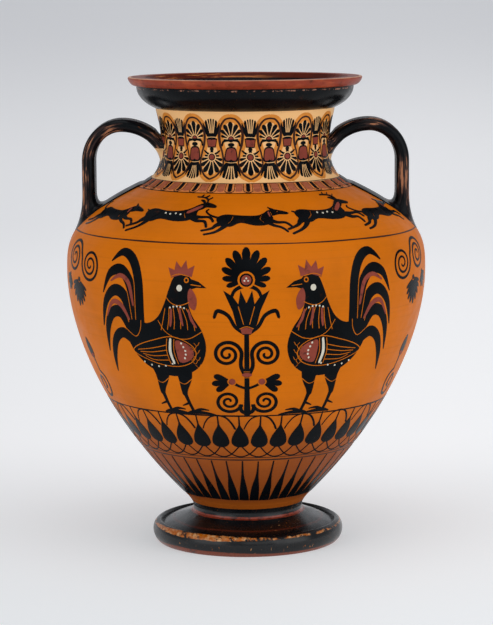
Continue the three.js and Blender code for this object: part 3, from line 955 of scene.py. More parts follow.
def finish_named(name):
    """One of the jar's materials, made at its first use."""
    if name in bpy.data.materials:
        return bpy.data.materials[name]
    hues = colours()
    maker, *values = {
        "burnished_clay": (clay_material, hues.clay, 0.45, 0.3),
        # Painted light: the neck is given a paler clay, as if lit more strongly than the body
        "pale_clay": (clay_material, hues.neck_clay, 0.5, 0.2),
        "foot_slip": (slip_material, 60.0, -0.1, 0.3, 0.42, foot_wear),
        "throat_slip": (slip_material, 40.0, 0.05, 0.2, 0.06, throat_wear),
        "bowl_slip": (slip_material, 55.0, -0.06, 0.2, 0.11, bowl_wear),
        "handle_slip": (slip_material, 190.0, 0.03, 0.3, 0.1, handle_wear, True),
        "painted_slip": (slip_material, 70.0, 0.0, 0.0, 0.05),
        "thin_slip": (added_material, hues.thin_slip, hues.clay, 0.0, 0.4),
        "amber_wash": (added_material, AMBER_WASH, hues.neck_clay, 0.0, 0.45),
        "lip_red": (added_material, hues.lip_red, hues.thin_slip, 0.06, 0.42, lip_wear),
        "orange_ground": (added_material, ORANGE_GROUND, hues.clay, 0.0, 0.45),
        "faded_red": (added_material, FADED_RED, hues.slip, 0.03, 0.55),
        "purple_red": (added_material, hues.added_red, hues.slip, 0.05, 0.55),
        "cream_white": (added_material, hues.added_white, hues.neck_clay, 0.02, 0.6),
    }[name]
    return maker(name, *values)


# Drawings, in millimetres: lists of (ink, outline) laid over each other in their order


CLAY, WASH, GROUND, BROWN, BLACK, FADED, RED, WHITE = range(8)

# Width of a scratched line, how full a palmette's petals are, and the sizes of single units
INCISION = 0.75
FULLNESS = 0.68
BUD_PITCH = 17.71
UNIT_WIDTH = 34.65
WASH_WIDTH = 7.6


def through(points, closed=False, steps=6):
    """A smooth curve through points, which may carry more values, such as a width."""
    count, curve = len(points), []
    for i in range(count if closed else count - 1):
        if closed:
            a, b, c, d = (points[(i + k) % count] for k in (-1, 0, 1, 2))
        else:
            a, b, c, d = points[max(i - 1, 0)], points[i], points[i + 1], points[min(i + 2, count - 1)]
        for j in range(steps):
            t = j / steps
            shares = (-t + 2 * t * t - t**3, 2 - 5 * t * t + 3 * t**3, t + 4 * t * t - 3 * t**3, t**3 - t * t)
            curve.append(tuple(sum(s * v for s, v in zip(shares, values)) / 2 for values in zip(a, b, c, d)))
    if not closed:
        curve.append(tuple(points[-1]))
    return curve


def stroke(points, width=None, steps=5):
    """A brush line with round ends, through (x, y) points of one width or (x, y, width) points."""
    line = points if width is None else [(x, y, width) for x, y in points]
    line = through(line, steps=steps)
    left, right = [], []
    for i, (x, y, w) in enumerate(line):
        before, after = line[max(i - 1, 0)], line[min(i + 1, len(line) - 1)]
        dx, dy = after[0] - before[0], after[1] - before[1]
        half = w / 2 / (math.hypot(dx, dy) or 1)
        left.append((x - dy * half, y + dx * half))
        right.append((x + dy * half, y - dx * half))
        if i == 0:
            left.insert(0, (x - dx * half, y - dy * half))
        if i == len(line) - 1:
            left.append((x + dx * half, y + dy * half))
    return left + right[::-1]


def brushed(ink, *lines, width=None, steps=5):
    """Brush lines of one ink; each is a list of (x, y, width) points, or of (x, y) points of one width."""
    return [(ink, stroke(line, width, steps)) for line in lines]


def incised(*lines, width=INCISION):
    """Lines scratched through the slip; each is a list of (x, y) points."""
    return brushed(CLAY, *lines, width=width)


def rounded(ink, points, steps=4):
    """A closed shape with a smooth edge through points."""
    return [(ink, through(points, True, steps))]


def turned_by(degrees, x, y, points):
    """(u, v) points turned by degrees and moved to (x, y)."""
    c, s = math.cos(math.radians(degrees)), math.sin(math.radians(degrees))
    return [(x + u * c - v * s, y + u * s + v * c) for u, v in points]


def oval(x, y, across, up, tilt=0, steps=18):
    """An oval with half sizes across and up, turned by tilt degrees."""
    angles = [2 * math.pi * i / steps for i in range(steps)]
    return turned_by(tilt, x, y, [(across * math.cos(a), up * math.sin(a)) for a in angles])


def disc(x, y, radius):
    return oval(x, y, radius, radius, steps=14)


def dots(ink, radius, *places):
    return [(ink, disc(x, y, radius)) for x, y in places]


def eye(x, y, radius, pupil):
    return dots(CLAY, radius, (x, y)) + dots(BLACK, pupil, (x, y))


def edged(points):
    """A line scratched round a shape with a smooth edge through points."""
    line = through(points, True, 4)
    return brushed(CLAY, line + line[:1], width=0.8, steps=1)


def petal(x, y, angle, reach, width):
    """A petal that starts narrow at (x, y) and ends round; angle in degrees from the x axis."""
    sides = ((0, 0.2), (0.3, 0.5), (0.62, 0.92), (0.8, 1), (0.92, 0.75), (0.985, 0.35))
    half = [(u * reach, v * width / 2) for u, v in sides]
    return turned_by(angle, x, y, half + [(reach, 0)] + [(u, -v) for u, v in half[::-1]])


def spiral(x, y, radius, turns, start, width, way=1):
    """Points of a brush line that winds inwards; start in degrees, way 1 is anticlockwise."""
    points, steps = [], int(turns * 12)
    for i in range(steps + 1):
        t = i / steps
        a = math.radians(start) + way * 2 * math.pi * turns * t
        reach = radius * (1 - 0.86 * t)
        points.append((x + reach * math.cos(a), y + reach * math.sin(a), width * (1 - 0.35 * t)))
    return points


def placed(drawing, scale=1, tall=1, mirror=False):
    """A drawing sized, drawn out upwards and, if wanted, turned to face the other way."""
    way = -scale if mirror else scale
    return [(ink, [(way * x, scale * tall * y) for x, y in outline]) for ink, outline in drawing]


def mirrored(points):
    """A right half from bottom to top, closed by its mirror image."""
    return points + [(-x, y) for x, y in points[::-1]]


def palmette(x, y, reach, count, spread, direction, heart, side_reach, vein=0.0):
    """A fan of petals round a red heart, parted by scratched veins if they have a width."""

    def length_at(t):
        return reach * (1 - (1 - side_reach) * abs(t) ** 1.3)

    drawing = []
    for i in range(count):
        t = 2 * i / (count - 1) - 1
        width = FULLNESS * length_at(t) * math.radians(spread) / (count - 1)
        drawing.append((BLACK, petal(x, y, direction + t * spread / 2, length_at(t), width)))
    for i in range(count - 1 if vein else 0):
        t = (2 * i + 1) / (count - 1) - 1
        end = turned_by(direction + t * spread / 2, x, y, [(length_at(t) * 0.95, 0)])
        drawing += incised([(x, y), *end], width=vein)
    for ink, share in ((CLAY, 1.75), (BLACK, 1.35), (RED, 1)):
        drawing.append((ink, disc(x, y, reach * heart * share)))
    return drawing


# Ring ornament: one unit of each band


def ray():
    """A ray that narrows from the foot to a long thin tip."""
    half = [(4.15, 8.8), (3.9, 14), (3.5, 19), (3, 25), (2.4, 31), (1.8, 36), (1.25, 41), (0.85, 46)]
    return [(BLACK, mirrored(half + [(0.62, 51), (0.48, 58), (0.36, 66)]))]


def lotus_buds():
    """Two buds with the chain that links every second one."""
    half = [(0, -12.8), (4.4, -11.8), (7.4, -8.6), (7.9, -4.8), (6.5, 1.2), (3.8, 7.2), (1.4, 12)]
    bud = through(half + [(0, 16.5)] + [(-x, y) for x, y in half[:0:-1]], True, 3)
    drawing = []
    for x in (0, BUD_PITCH):
        drawing.append((BLACK, [(x + u, v) for u, v in bud]))
        drawing += brushed(BLACK, [(x, 14, 1.5), (x, 25, 1.1)], steps=2)
    over = [(3.9, 9.5), (6.5, 16), (11, 22.5), (17.7, 24.9), (24.4, 22.5), (28.9, 16), (31.5, 9.5)]
    under = [(1.2, -12), (9, -21.5), (17.7, -25), (26.4, -21.5), (34.2, -12)]
    drawing += brushed(BLACK, *([(x + first, y) for x, y in under] for first in (0, BUD_PITCH)), width=1.2)
    drawing += brushed(BLACK, [(x, y, 0.9 + 0.03 * x) for x, y in over])
    return drawing


def tongue_pair():
    """A black tongue and a red one, each in a thin outline."""
    drawing = [(GROUND, [(-4.05, 0.8), (12.15, 0.8), (12.15, 14.8), (-4.05, 14.8)])]
    for x, ink, half in ((0, BLACK, 1.8), (8.1, FADED, 3.1)):
        core = [(0, 1.8), (0.8, 3), (1, 6), (1, 14.4)]
        core = [(-u, v) for u, v in core[:0:-1]] + core
        drawing.append((ink, [(x + half * u, v) for u, v in core]))
    rim = [(-4.05, 14.4), (-4.05, 5.4), (-3.2, 1.9), (0, 0.3), (3.2, 1.9), (4.05, 5.4), (4.05, 14.4)]
    return drawing + brushed(BROWN, rim, width=0.6, steps=3)


def fan(x, y, direction, reach, root, tip, count):
    """A lotus flower: petals side by side with round ends between two dark sepals."""
    c, s = math.cos(math.radians(direction)), math.sin(math.radians(direction))

    def at(u, v):
        return x + u * c - v * s, y + u * s + v * c

    outline = [at(0, -root)]
    for i in range(count):
        v = tip * (2 * (i + 0.5) / count - 1)
        bulge = tip / count
        far = reach * (1 - 0.12 * (v / tip) ** 2)
        outline += [at(far * 0.9, v - bulge * 0.96), at(far, v - bulge * 0.4), at(far, v + bulge * 0.4)]
    outline += [at(reach * 0.8, tip), at(0, root)]
    drawing = [(BLACK, outline)]
    for i in range(1, count):
        share = 2 * i / count - 1
        drawing += incised([at(reach * 0.3, root * share * 0.7), at(reach * 0.97, tip * share)], width=0.9)
    sepal = [(-0.5, 0, 1), (reach * 0.2, root, 2.4), (reach * 0.5, tip * 1.02, 2)]
    sepal.append((reach * 0.78, tip * 1.3, 0.8))
    return drawing + brushed(BLACK, *([(*at(u, side * v), w) for u, v, w in sepal] for side in (-1, 1)))


def neck_chain():
    """One unit of the lotus and palmette chain: a palmette over a lotus, then a lotus over a palmette."""
    wave = [
        (0, 27.2, 1.6), (4.6, 25.8, 1.7), (8.8, 20, 2), (10.6, 12, 2.4), (9.9, 4, 2.2), (8.9, 0, 1.8),
        (7.7, -4, 1.6), (6.5, -12, 1.6), (8, -19, 1.7), (12, -25, 1.7), (17.3, -28.6, 1.8),
    ]
    half = UNIT_WIDTH / 2
    waves = (wave, [(UNIT_WIDTH - x, y, w) for x, y, w in wave])
    drawing = brushed(WASH, *([(x, y, WASH_WIDTH) for x, y, _ in line] for line in waves))
    drawing += brushed(BROWN, *waves)
    drawing += palmette(0, 8, 16, 9, 190, 90, 0.13, 0.42, vein=0.95)
    drawing += brushed(BLACK, [(-8, 2, 1.4), (-6.6, 6, 2), (0, 7, 2), (6.6, 6, 2), (8, 2, 1.4)])
    drawing.append((BLACK, oval(0, 3, 3, 1.8)))
    drawing += rounded(BLACK, [(-3.4, 0.6), (3.4, 0.6), (5.4, -5), (5, -12), (-5, -12), (-5.4, -5)])
    drawing += rounded(RED, [(-2.8, -0.6), (2.8, -0.6), (4.4, -5), (4, -10.8), (-4, -10.8), (-4.4, -5)])
    drawing += fan(0, -11, 270, 17.6, 4.2, 6.6, 5)
    drawing += incised([(-5, -12.4), (0, -13), (5, -12.4)], width=0.6)
    drawing += brushed(BLACK, [(half, 1, 2.4), (half, -6, 3)], steps=2) + dots(BLACK, 1.9, (half, -1))
    drawing.append((BLACK, [(half - 5, 8.4), (half + 5, 8.4), (half + 3.8, 0.4), (half - 3.8, 0.4)]))
    drawing.append((RED, [(half - 4.3, 7.4), (half + 4.3, 7.4), (half + 3.2, 1.4), (half - 3.2, 1.4)]))
    drawing += fan(half, 8, 90, 18.4, 3.6, 5.6, 5)
    drawing += incised([(half - 4.8, 9.4), (half, 9.8), (half + 4.8, 9.4)], width=0.6)
    bow = [(-7.4, -2.4, 1.4), (-3, -5.4, 2), (3, -5.4, 2), (7.4, -2.4, 1.4)]
    drawing += brushed(BLACK, [(half + x, y, w) for x, y, w in bow])
    drawing += palmette(half, -8, 17, 9, 200, 270, 0.14, 0.42, vein=0.95)
    return drawing


def handle_ornament():
    """Spirals, palmette and leaf beside a handle's foot; x runs towards the front."""
    near = spiral(28, 58, 15, 2.4, 180, 2.6)
    far = spiral(-5, 63, 16, 2.4, 15, 2.8)
    link = [(13, 58.4, 2.6), (12.6, 63.5, 2.6), (10.4, 67.4, 2.8)]
    drawing = brushed(BLACK, near, far, link)
    fans = palmette(7, 43, 25, 9, 130, 262, 0.07, 0.66) + palmette(-18, 46, 17, 5, 100, 245, 0.07, 0.7)
    drawing += [part for part in fans if part[0] != RED]
    drawing += rounded(BLACK, [(-5, -12), (-8.4, -20), (-6.2, -29), (0, -32), (4.4, -27), (2, -18)], 6)
    drawing.append((RED, oval(-1, -29, 4.4, 1.6, 20)))
    drawing += brushed(BLACK, [(0, -31, 2.4), (1, -45, 2.2)])
    loop = [(1, -45), (9, -50), (10.5, -59), (5, -69), (-5, -71), (-10, -62), (-6, -52), (0, -53), (2, -60)]
    return drawing + brushed(BLACK, loop + [(-2, -63)], width=2.8)


# Frieze animals, facing right, their feet at y = 0


def cock():
    """A cock with sickle tail, about 132 tall."""
    body = [
        (36, 118), (34, 111), (32, 102), (35, 90), (42, 78), (44, 64), (38, 50), (26, 41), (10, 37),
        (-6, 40), (-20, 48), (-30, 60), (-34, 74), (-26, 84), (-10, 82), (2, 88), (10, 100), (15, 112),
        (20, 121), (29, 124),
    ]
    drawing = []
    sickles = (
        [(-24, 64, 8), (-38, 72, 9), (-49, 66, 8), (-55, 52, 5.6), (-57, 36, 1.2)],
        [(-24, 68, 9), (-36, 88, 10), (-49, 88, 9), (-58, 75, 6.6), (-62, 54, 1.2)],
        [(-22, 72, 9), (-31, 100, 10), (-44, 107, 9.4), (-57, 97, 6.6), (-64, 76, 1.2)],
        [(-20, 76, 9), (-24, 108, 10), (-35, 123, 9.6), (-50, 120, 6.6), (-60, 104, 1.2)],
        [(-17, 78, 9), (-16, 112, 9), (-22, 131, 9), (-35, 138, 6.6), (-48, 130, 1.2)],
    )
    for line in sickles:
        drawing += brushed(CLAY, [(x, y, w + 1.6) for x, y, w in line])
        drawing += brushed(BLACK, line)
    drawing += brushed(
        RED,
        [(-29, 84, 2), (-37, 95, 4), (-48, 97, 3.6), (-57, 85, 1.4)],
        [(-23, 96, 2), (-27, 113, 4), (-37, 119, 3.6), (-49, 114, 1.4)],
    )
    for x in (18, -4):
        drawing += brushed(
            BLACK,
            [(x, 50, 20), (x + 1, 38, 14), (x - 2, 26, 7), (x - 3, 20, 4.6)],
            [(x - 3, 24, 4.2), (x - 1, 12, 3), (x + 1, 3, 3)],
            [(x - 6, 1.6, 1.2), (x + 1, 3, 3.6), (x + 12, 2.4, 2.6), (x + 20, 1, 1)],
            [(x + 1, 3, 3), (x + 8, 6, 2.4), (x + 15, 5.4, 1)],
            [(x - 1, 12, 2.4), (x - 8, 9, 1)],
        )
        drawing += incised([(x - 8, 34), (x - 1, 30), (x + 7, 35)])
    drawing += rounded(BLACK, body)
    drawing.append((BLACK, [(33, 120), (42, 117.4), (49, 112.5), (40, 112.6), (34, 111)]))
    comb = [(17, 120), (14, 128), (20, 126), (21, 133), (26, 128), (30, 134), (32, 127), (38, 130), (36, 121)]
    drawing.append((RED, comb + [(28, 123)]))
    drawing += rounded(RED, [(35, 112), (40, 104), (38, 95), (33, 98), (32, 107)])
    drawing += dots(WHITE, 2.6, (24.5, 112)) + eye(31, 118.4, 2.3, 1.2)
    drawing += incised([(17, 121), (24, 123), (33, 121.4)], [(35, 115), (44, 114)])
    drawing += incised([(12, 104), (16, 100), (22, 98), (28, 99), (33, 101)])
    for k in range(7):
        x, y = 10 + 4 * k, 97 - 0.6 * abs(k - 3)
        drawing += incised([(x, y), (x - 3 + 1.6 * k, y - 10), (x - 6 + 2.4 * k, y - 18)])
        if k % 2:
            feather = [(x + 2, y - 1, 1.6), (x + 0.8 * k, y - 9, 2.6), (x - 2.4 + 2 * k, y - 15, 1.4)]
            drawing += brushed(RED, feather, steps=3)
    for row in range(3):
        for k in range(4 - row):
            x, y = 36 - 3 * row - 0.6 * k, 66 - 6.4 * k - 3.2 * row
            drawing += incised([(x - 2.6, y + 1.4), (x, y - 1), (x + 2.4, y + 2)], width=0.55)
    drawing += incised([(2, 85), (8, 76), (18, 71), (30, 71), (42, 77)])
    wing = [(30, 66), (34, 58), (28, 50), (14, 46), (-6, 48), (-28, 56), (-24, 62), (-6, 68), (14, 72)]
    drawing += edged(wing)
    drawing += rounded(RED, [(29, 65), (32, 58), (27, 52), (18, 50), (16, 58), (17, 69)])
    drawing += brushed(WHITE, [(12, 70, 2), (10, 59, 2.6), (12, 49, 2)])
    drawing += incised([(15.4, 70), (13.6, 59), (15.6, 48.4)], [(8.4, 70), (6.4, 59), (8.4, 48)])
    for k in range(4):
        drawing += incised([(7, 64.5 - 4.4 * k), (-8, 61 - 3.4 * k), (-24 + 2.5 * k, 58.6 - 1.6 * k)])
    drawing += dots(WHITE, 0.9, *((23 + 1.6 * math.sin(k), 54 + 3.2 * k) for k in range(5)))
    drawing += dots(WHITE, 0.8, *((-26 + 7.2 * k, 51.4 - 6.2 * math.sin(k / 1.9)) for k in range(1, 6)))
    drawing += dots(WHITE, 0.8, *((15 + 3.3 * k, 93.4 - 0.3 * (k - 2) ** 2 + 4) for k in range(5)))
    drawing += incised([(-34, 76), (-24, 70), (-18, 76), (-16, 84)])
    return drawing


def crane():
    """A long-legged wading bird, about 140 tall."""
    drawing = []
    for x, knee in ((2, 8), (-8, -12)):
        drawing += brushed(
            BLACK,
            [(x, 62, 9), (x + knee * 0.3, 50, 5), (x + knee * 0.5, 36, 3.4)],
            [(x + knee * 0.5, 38, 3.6), (x + knee * 0.2, 18, 2.4), (x, 3, 2.6)],
            [(x - 6, 1.2, 1), (x, 2.6, 3), (x + 9, 2, 2), (x + 15, 0.8, 0.8)],
            [(x, 3, 2.4), (x + 8, 5.4, 1.8), (x + 12, 5, 0.8)],
        )
    body = [
        (20, 88), (22, 80), (17, 70), (6, 62), (-8, 58), (-22, 56), (-34, 50), (-31, 60), (-24, 72),
        (-12, 84), (2, 92), (12, 96),
    ]
    drawing += rounded(BLACK, body)
    neck = [(12, 84, 20), (17, 94, 13), (19, 103, 8), (15, 112, 6.4), (13, 121, 6.4), (17, 130, 7)]
    drawing += brushed(BLACK, neck + [(23, 134, 8)])
    drawing.append((BLACK, oval(23, 134, 6.4, 4.8, -10)))
    drawing.append((BLACK, [(26, 137.6), (38, 135), (51, 129.4), (38, 131.4), (27, 130.6)]))
    drawing += brushed(BLACK, [(20, 137, 2.4), (12, 138, 1.8), (5, 134, 0.8)])
    drawing += eye(24.6, 135, 1.7, 0.9)
    drawing += incised([(28, 138), (28.6, 134), (27.6, 130)], [(29, 134), (42, 131.6)])
    drawing += brushed(RED, [(18.6, 103, 3.4), (15.4, 111, 3), (13.8, 119, 2.6)])
    drawing += edged([(15, 86), (17, 79), (10, 72), (-4, 66), (-30, 54), (-24, 68), (-10, 80), (4, 87)])
    drawing += rounded(RED, [(14, 84.6), (14.6, 79), (8, 74), (3, 76), (2, 84)])
    drawing += brushed(WHITE, [(-1, 84, 1.8), (-0.6, 77, 2.4), (1.6, 71.6, 1.8)])
    for k in range(4):
        quill = [(-4 + k * 0.8, 80.6 - 3.6 * k), (-14 + k, 73 - 3 * k), (-25 + k * 0.5, 63.4 - 2 * k)]
        drawing += incised(quill)
    drawing += incised([(6, 96), (13, 92), (22, 93)], [(8, 98), (14, 94.6), (21.6, 96)])
    return drawing


def tree():
    """An upright stem of volutes, lotus and palmettes for the middle of a panel."""
    drawing = brushed(BLACK, [(0, 2, 6), (0, 30, 4.4), (0, 60, 4.4), (0, 100, 4)])
    half = brushed(BLACK, spiral(16, 16, 12, 1.9, 200, 3.2))
    half += brushed(BLACK, [(2, 4, 4), (5, 6, 3.4), (6, 12, 3.2)])
    half += brushed(BLACK, spiral(17, 64, 13, 2.1, 200, 3.4, -1))
    half += brushed(BLACK, [(1.5, 44, 4), (5, 52, 3.4), (5, 60, 3.4)])
    for a, reach in ((20, 17), (-8, 18), (-36, 17)):
        half.append((BLACK, petal(13, 37, a, reach, 6)))
    half += brushed(BLACK, [(1, 30, 2.4), (8, 33, 2.4), (13, 37, 3)])
    half += dots(CLAY, 4.2, (13, 37)) + dots(RED, 3, (13, 37))
    half += brushed(BLACK, [(2, 84, 3.6), (10, 90, 3.2), (16, 100, 3.2), (25, 104, 3.6), (28, 98, 2.6)])
    drawing += half + placed(half, mirror=True)
    cup = [(4, 84), (9, 92), (12, 104), (20, 122), (12, 117), (7, 110), (5, 122), (0, 111)]
    drawing.append((BLACK, cup + [(-x, y) for x, y in cup[:-1][::-1]]))
    drawing += incised([(-6, 88), (0, 90), (6, 88)], [(-2.6, 92), (-7, 108)], [(2.6, 92), (7, 108)])
    drawing.append((RED, [(-5.4, 88), (-4, 83.4), (4, 83.4), (5.4, 88), (0, 89.4)]))
    drawing += brushed(BLACK, [(-14, 112, 2.4), (-10, 122, 3), (0, 126, 3.4), (10, 122, 3), (14, 112, 2.4)])
    drawing += palmette(0, 131, 29, 11, 215, 90, 0.15, 0.62)
    drawing.append((RED, oval(0, 44, 4.4, 2)))
    drawing += dots(WHITE, 0.8, (0, 132.5), (1.6, 130.4), (-1.6, 130.4))
    drawing += incised([(-2.6, 41), (2.6, 41)], [(-2.6, 47), (2.6, 47)])
    return drawing


def deer():
    """A running deer, about 62 long and 38 high."""
    drawing = brushed(
        BLACK,
        [(18, 22, 6), (26, 16, 3.4), (33, 15, 2.2), (37, 9, 2)],
        [(17, 21, 5), (27, 20, 3), (35, 20, 2), (40, 15, 1.8)],
        [(-16, 20, 8), (-23, 14, 4), (-27, 10, 2.4), (-36, 6, 1.8)],
        [(-15, 19, 7), (-19, 11, 3.6), (-25, 5.6, 2.2), (-34, 1.4, 1.7)],
    )
    body = [
        (22, 28), (23, 21), (18, 15.6), (7, 14.6), (-6, 16.8), (-14, 13), (-21, 16), (-23, 24), (-17, 28.4),
        (-5, 26.4), (7, 26.8), (15, 30.6), (20.6, 37), (26, 35.6), (25, 31),
    ]
    drawing += rounded(BLACK, body, 3)
    drawing += rounded(BLACK, [(20, 34), (23, 38.6), (28, 38), (34, 34.4), (33, 32.4), (27, 33), (23, 31)], 3)
    drawing += brushed(
        BLACK,
        [(23, 38, 1.6), (20, 41.6, 2), (17.6, 42.6, 0.8)],
        [(24.6, 38, 1.3), (23, 43, 1.2), (19, 46.4, 1.1), (12, 47.4, 0.8)],
    )
    for x, y, u, v in ((22.6, 43, 25, 46.6), (19, 46.2, 21, 49.6), (15.4, 47.2, 16, 50.4)):
        drawing += brushed(BLACK, [(x, y, 1), (u, v, 0.7)], steps=2)
    drawing += brushed(BLACK, [(-20, 24, 2.2), (-24, 26.6, 1)])
    drawing += brushed(RED, [(15, 25, 3), (19.4, 29.4, 3.6), (22.6, 33, 2.6)])
    drawing += eye(26.6, 36, 0.9, 0.45)
    drawing += incised([(14, 29), (12.4, 24), (15.6, 18.6)], [(-9, 26), (-10.6, 21), (-14.6, 17)], width=0.6)
    drawing += incised([(21.6, 31.6), (24.6, 33.4)], width=0.6)
    return drawing + dots(WHITE, 0.8, *((-4 + 4.6 * k, 22.6 + 0.5 * (-1) ** k) for k in range(4)))


def hound():
    """A running hound, about 58 long and 26 high."""
    drawing = brushed(
        BLACK,
        [(16, 18, 5), (24, 14, 2.8), (31, 13.4, 2), (36, 9, 1.8)],
        [(14, 17, 4.4), (21, 11, 2.6), (28, 8, 1.9), (33, 3.6, 1.6)],
        [(-16, 15, 7), (-23, 11, 3.4), (-27, 7.4, 2.2), (-35, 5, 1.7)],
        [(-14, 14, 6), (-19, 7.6, 3), (-25, 3.4, 2), (-33, 1.2, 1.6)],
    )
    body = [
        (20, 23.4), (21.4, 17), (17, 11.6), (7, 10.8), (-4, 14), (-12, 9.6), (-20, 11.4), (-23, 18.6),
        (-16, 23.4), (-4, 22.2), (8, 22), (13.4, 24.6), (17.4, 28.6), (22.4, 27.4),
    ]
    drawing += rounded(BLACK, body, 3)
    head = [(17, 26.4), (20, 29.6), (25, 28.6), (33, 25.2), (32.4, 23.4), (26, 23.6), (20, 22)]
    drawing += rounded(BLACK, head, 3)
    drawing.append((BLACK, [(19.4, 28.6), (16.6, 33), (21.6, 30)]))
    drawing += brushed(BLACK, [(-20, 19, 2.2), (-27, 22, 1.6), (-31, 27, 1.4), (-29, 30, 0.8)])
    drawing += brushed(RED, [(18.6, 20.6, 1), (17.4, 25.6, 1.4)], steps=2)
    drawing += dots(CLAY, 0.8, (24.4, 26.8))
    drawing += incised([(12.4, 22.6), (11, 18), (14, 14)], [(-10, 21.4), (-11, 17), (-14, 12.6)], width=0.6)
    drawing += incised([(26.6, 24.6), (32, 24.4)], [(20, 22.2), (19, 27)], width=0.6)
    return drawing


# Operators, one for each piece or group of like pieces


class AmphoraBody(bpy.types.Operator):
    """Turn the body, from the collar up to the neck joint"""

    bl_idname = "amphora.body"
    bl_label = "Body"

    def execute(self, context):
        piece = turned("body", body_outline(), [finish_named("burnished_clay")])
        settle(piece, "body_clay", "body_lower", "body_shoulder")
        return {"FINISHED"}


class AmphoraNeck(bpy.types.Operator):
    """Turn the neck"""

    bl_idname = "amphora.neck"
    bl_label = "Neck"

    def execute(self, context):
        piece = turned("neck_sleeve", neck_outline(), [finish_named("pale_clay")])
        settle(piece, "neck_clay", "neck")
        return {"FINISHED"}


class AmphoraMouth(bpy.types.Operator):
    """Turn the lip with its flange and flat rim"""

    bl_idname = "amphora.mouth"
    bl_label = "Mouth"

    def execute(self, context):
        line, kinds = mouth_outline()
        finishes = [finish_named(name) for name in ("bowl_slip", "lip_red", "throat_slip")]
        settle(turned("lip", line, finishes, kinds), "black_slip", "mouth")
        return {"FINISHED"}


class AmphoraFoot(bpy.types.Operator):
    """Turn the disc foot and the collar over it"""

    bl_idname = "amphora.foot"
    bl_label = "Foot"

    def execute(self, context):
        foot = turned("foot", foot_outline(), [finish_named("foot_slip")])
        settle(foot, "black_slip", "foot_disc")
        line, kinds = collar_outline()
        finishes = [finish_named("foot_slip"), finish_named("burnished_clay")]
        settle(turned("collar", line, finishes, kinds), "black_slip", "foot_collar")
        return {"FINISHED"}


class AmphoraHandles(bpy.types.Operator):
    """Draw the two reeded handles with the clay that joins them to shoulder and neck"""

    bl_idname = "amphora.handles"
    bl_label = "Handles"

    def execute(self, context):
        for word, side in (("left", -1), ("right", 1)):
            points, faces, crests, runs = handle_mesh(side)
            piece = new_piece(f"reeded_handle_{word}", points, faces, [finish_named("handle_slip")])
            attribute = piece.data.attributes.new("crest", "FLOAT", "POINT")
            attribute.data.foreach_set("value", crests)
            attribute = piece.data.attributes.new("run", "FLOAT_VECTOR", "POINT")
            attribute.data.foreach_set("vector", [value for run in runs for value in run])
            reeds = [f"handle_{word}_reed_{place}" for place in ("front", "middle", "back")]
            roots = [f"handle_{word}_{end}_root" for end in ("lower", "upper")]
            settle(piece, "black_slip", *reeds, *roots)
        return {"FINISHED"}


class AmphoraStageBuild(bpy.types.Operator):
    """Set the floor, backdrop, lamps and camera"""

    bl_idname = "amphora.stage"
    bl_label = "Stage"

    def execute(self, context):
        build_floor()
        build_lamps()
        build_camera(context.scene.amphora_stage)
        return {"FINISHED"}


# Paint: drawings become thin closed shells of slip that lie on the clay


# What each ink becomes: how far it stands on the clay, its material slot, its finish and its name
Ink = collections.namedtuple("Ink", "lift slot finish name")
INKS = {
    WASH: Ink(0.06, "body_clay", "amber_wash", "wash"),
    GROUND: Ink(0.05, "body_clay", "orange_ground", "ground"),
    BROWN: Ink(0.1, "black_slip", "thin_slip", "brown"),
    BLACK: Ink(0.16, "black_slip", "painted_slip", "black"),
    FADED: Ink(0.2, "added_red", "faded_red", "faded"),
    RED: Ink(0.24, "added_red", "purple_red", "red"),
    WHITE: Ink(0.26, "added_white", "cream_white", "white"),
}
# How deep the shells' undersides lie in the clay, and the size of their triangles
BEDDED = 0.2
SPACING = 5.0
WELD_DISTANCE = 0.004


def inside(outline, spots):
    """Which of the spots lie inside an outline, by its winding number."""
    line = np.array(outline)
    low, high = line.min(axis=0), line.max(axis=0)
    hit = np.zeros(len(spots), bool)
    near = np.flatnonzero(((spots >= low) & (spots <= high)).all(axis=1))
    if len(near) == 0:
        return hit
    x, y = spots[near].T
    turns = np.zeros(len(near), int)
    for (x0, y0), (x1, y1) in zip(line, np.roll(line, -1, axis=0)):
        left = (x1 - x0) * (y - y0) - (x - x0) * (y1 - y0)
        turns += ((y0 <= y) & (y1 > y) & (left > 0)).astype(int)
        turns -= ((y0 > y) & (y1 <= y) & (left < 0)).astype(int)
    hit[near] = turns != 0
    return hit


def painted_triangles(drawing):
    """Triangles over a drawing with the ink that ends up on top of each."""
    points, edges = [], []
    for _, outline in drawing:
        loop = []
        for (x0, y0), (x1, y1) in zip(outline, outline[1:] + outline[:1]):
            parts = max(1, math.ceil(math.hypot(x1 - x0, y1 - y0) / SPACING))
            loop += [(x0 + (x1 - x0) * k / parts, y0 + (y1 - y0) * k / parts) for k in range(parts)]
        start = len(points)
        points += loop
        edges += [(start + k, start + (k + 1) % len(loop)) for k in range(len(loop))]
    (left, bottom), (right, top) = np.min(points, axis=0), np.max(points, axis=0)
    for j in range(int((top - bottom) / SPACING)):
        for i in range(int((right - left) / SPACING)):
            points.append((left + (i + 0.37 + 0.5 * (j % 2)) * SPACING, bottom + (j + 0.41) * SPACING))
    flat, _, triangles, *_ = delaunay_2d_cdt([Vector(p) for p in points], edges, [], 0, WELD_DISTANCE, False)
    flat, triangles = np.array(flat), np.array(triangles)
    middles = flat[triangles].mean(axis=1)
    ink_of = np.zeros(len(triangles), int)
    for ink, outline in drawing:
        ink_of[inside(outline, middles)] = ink
    return flat, triangles, ink_of


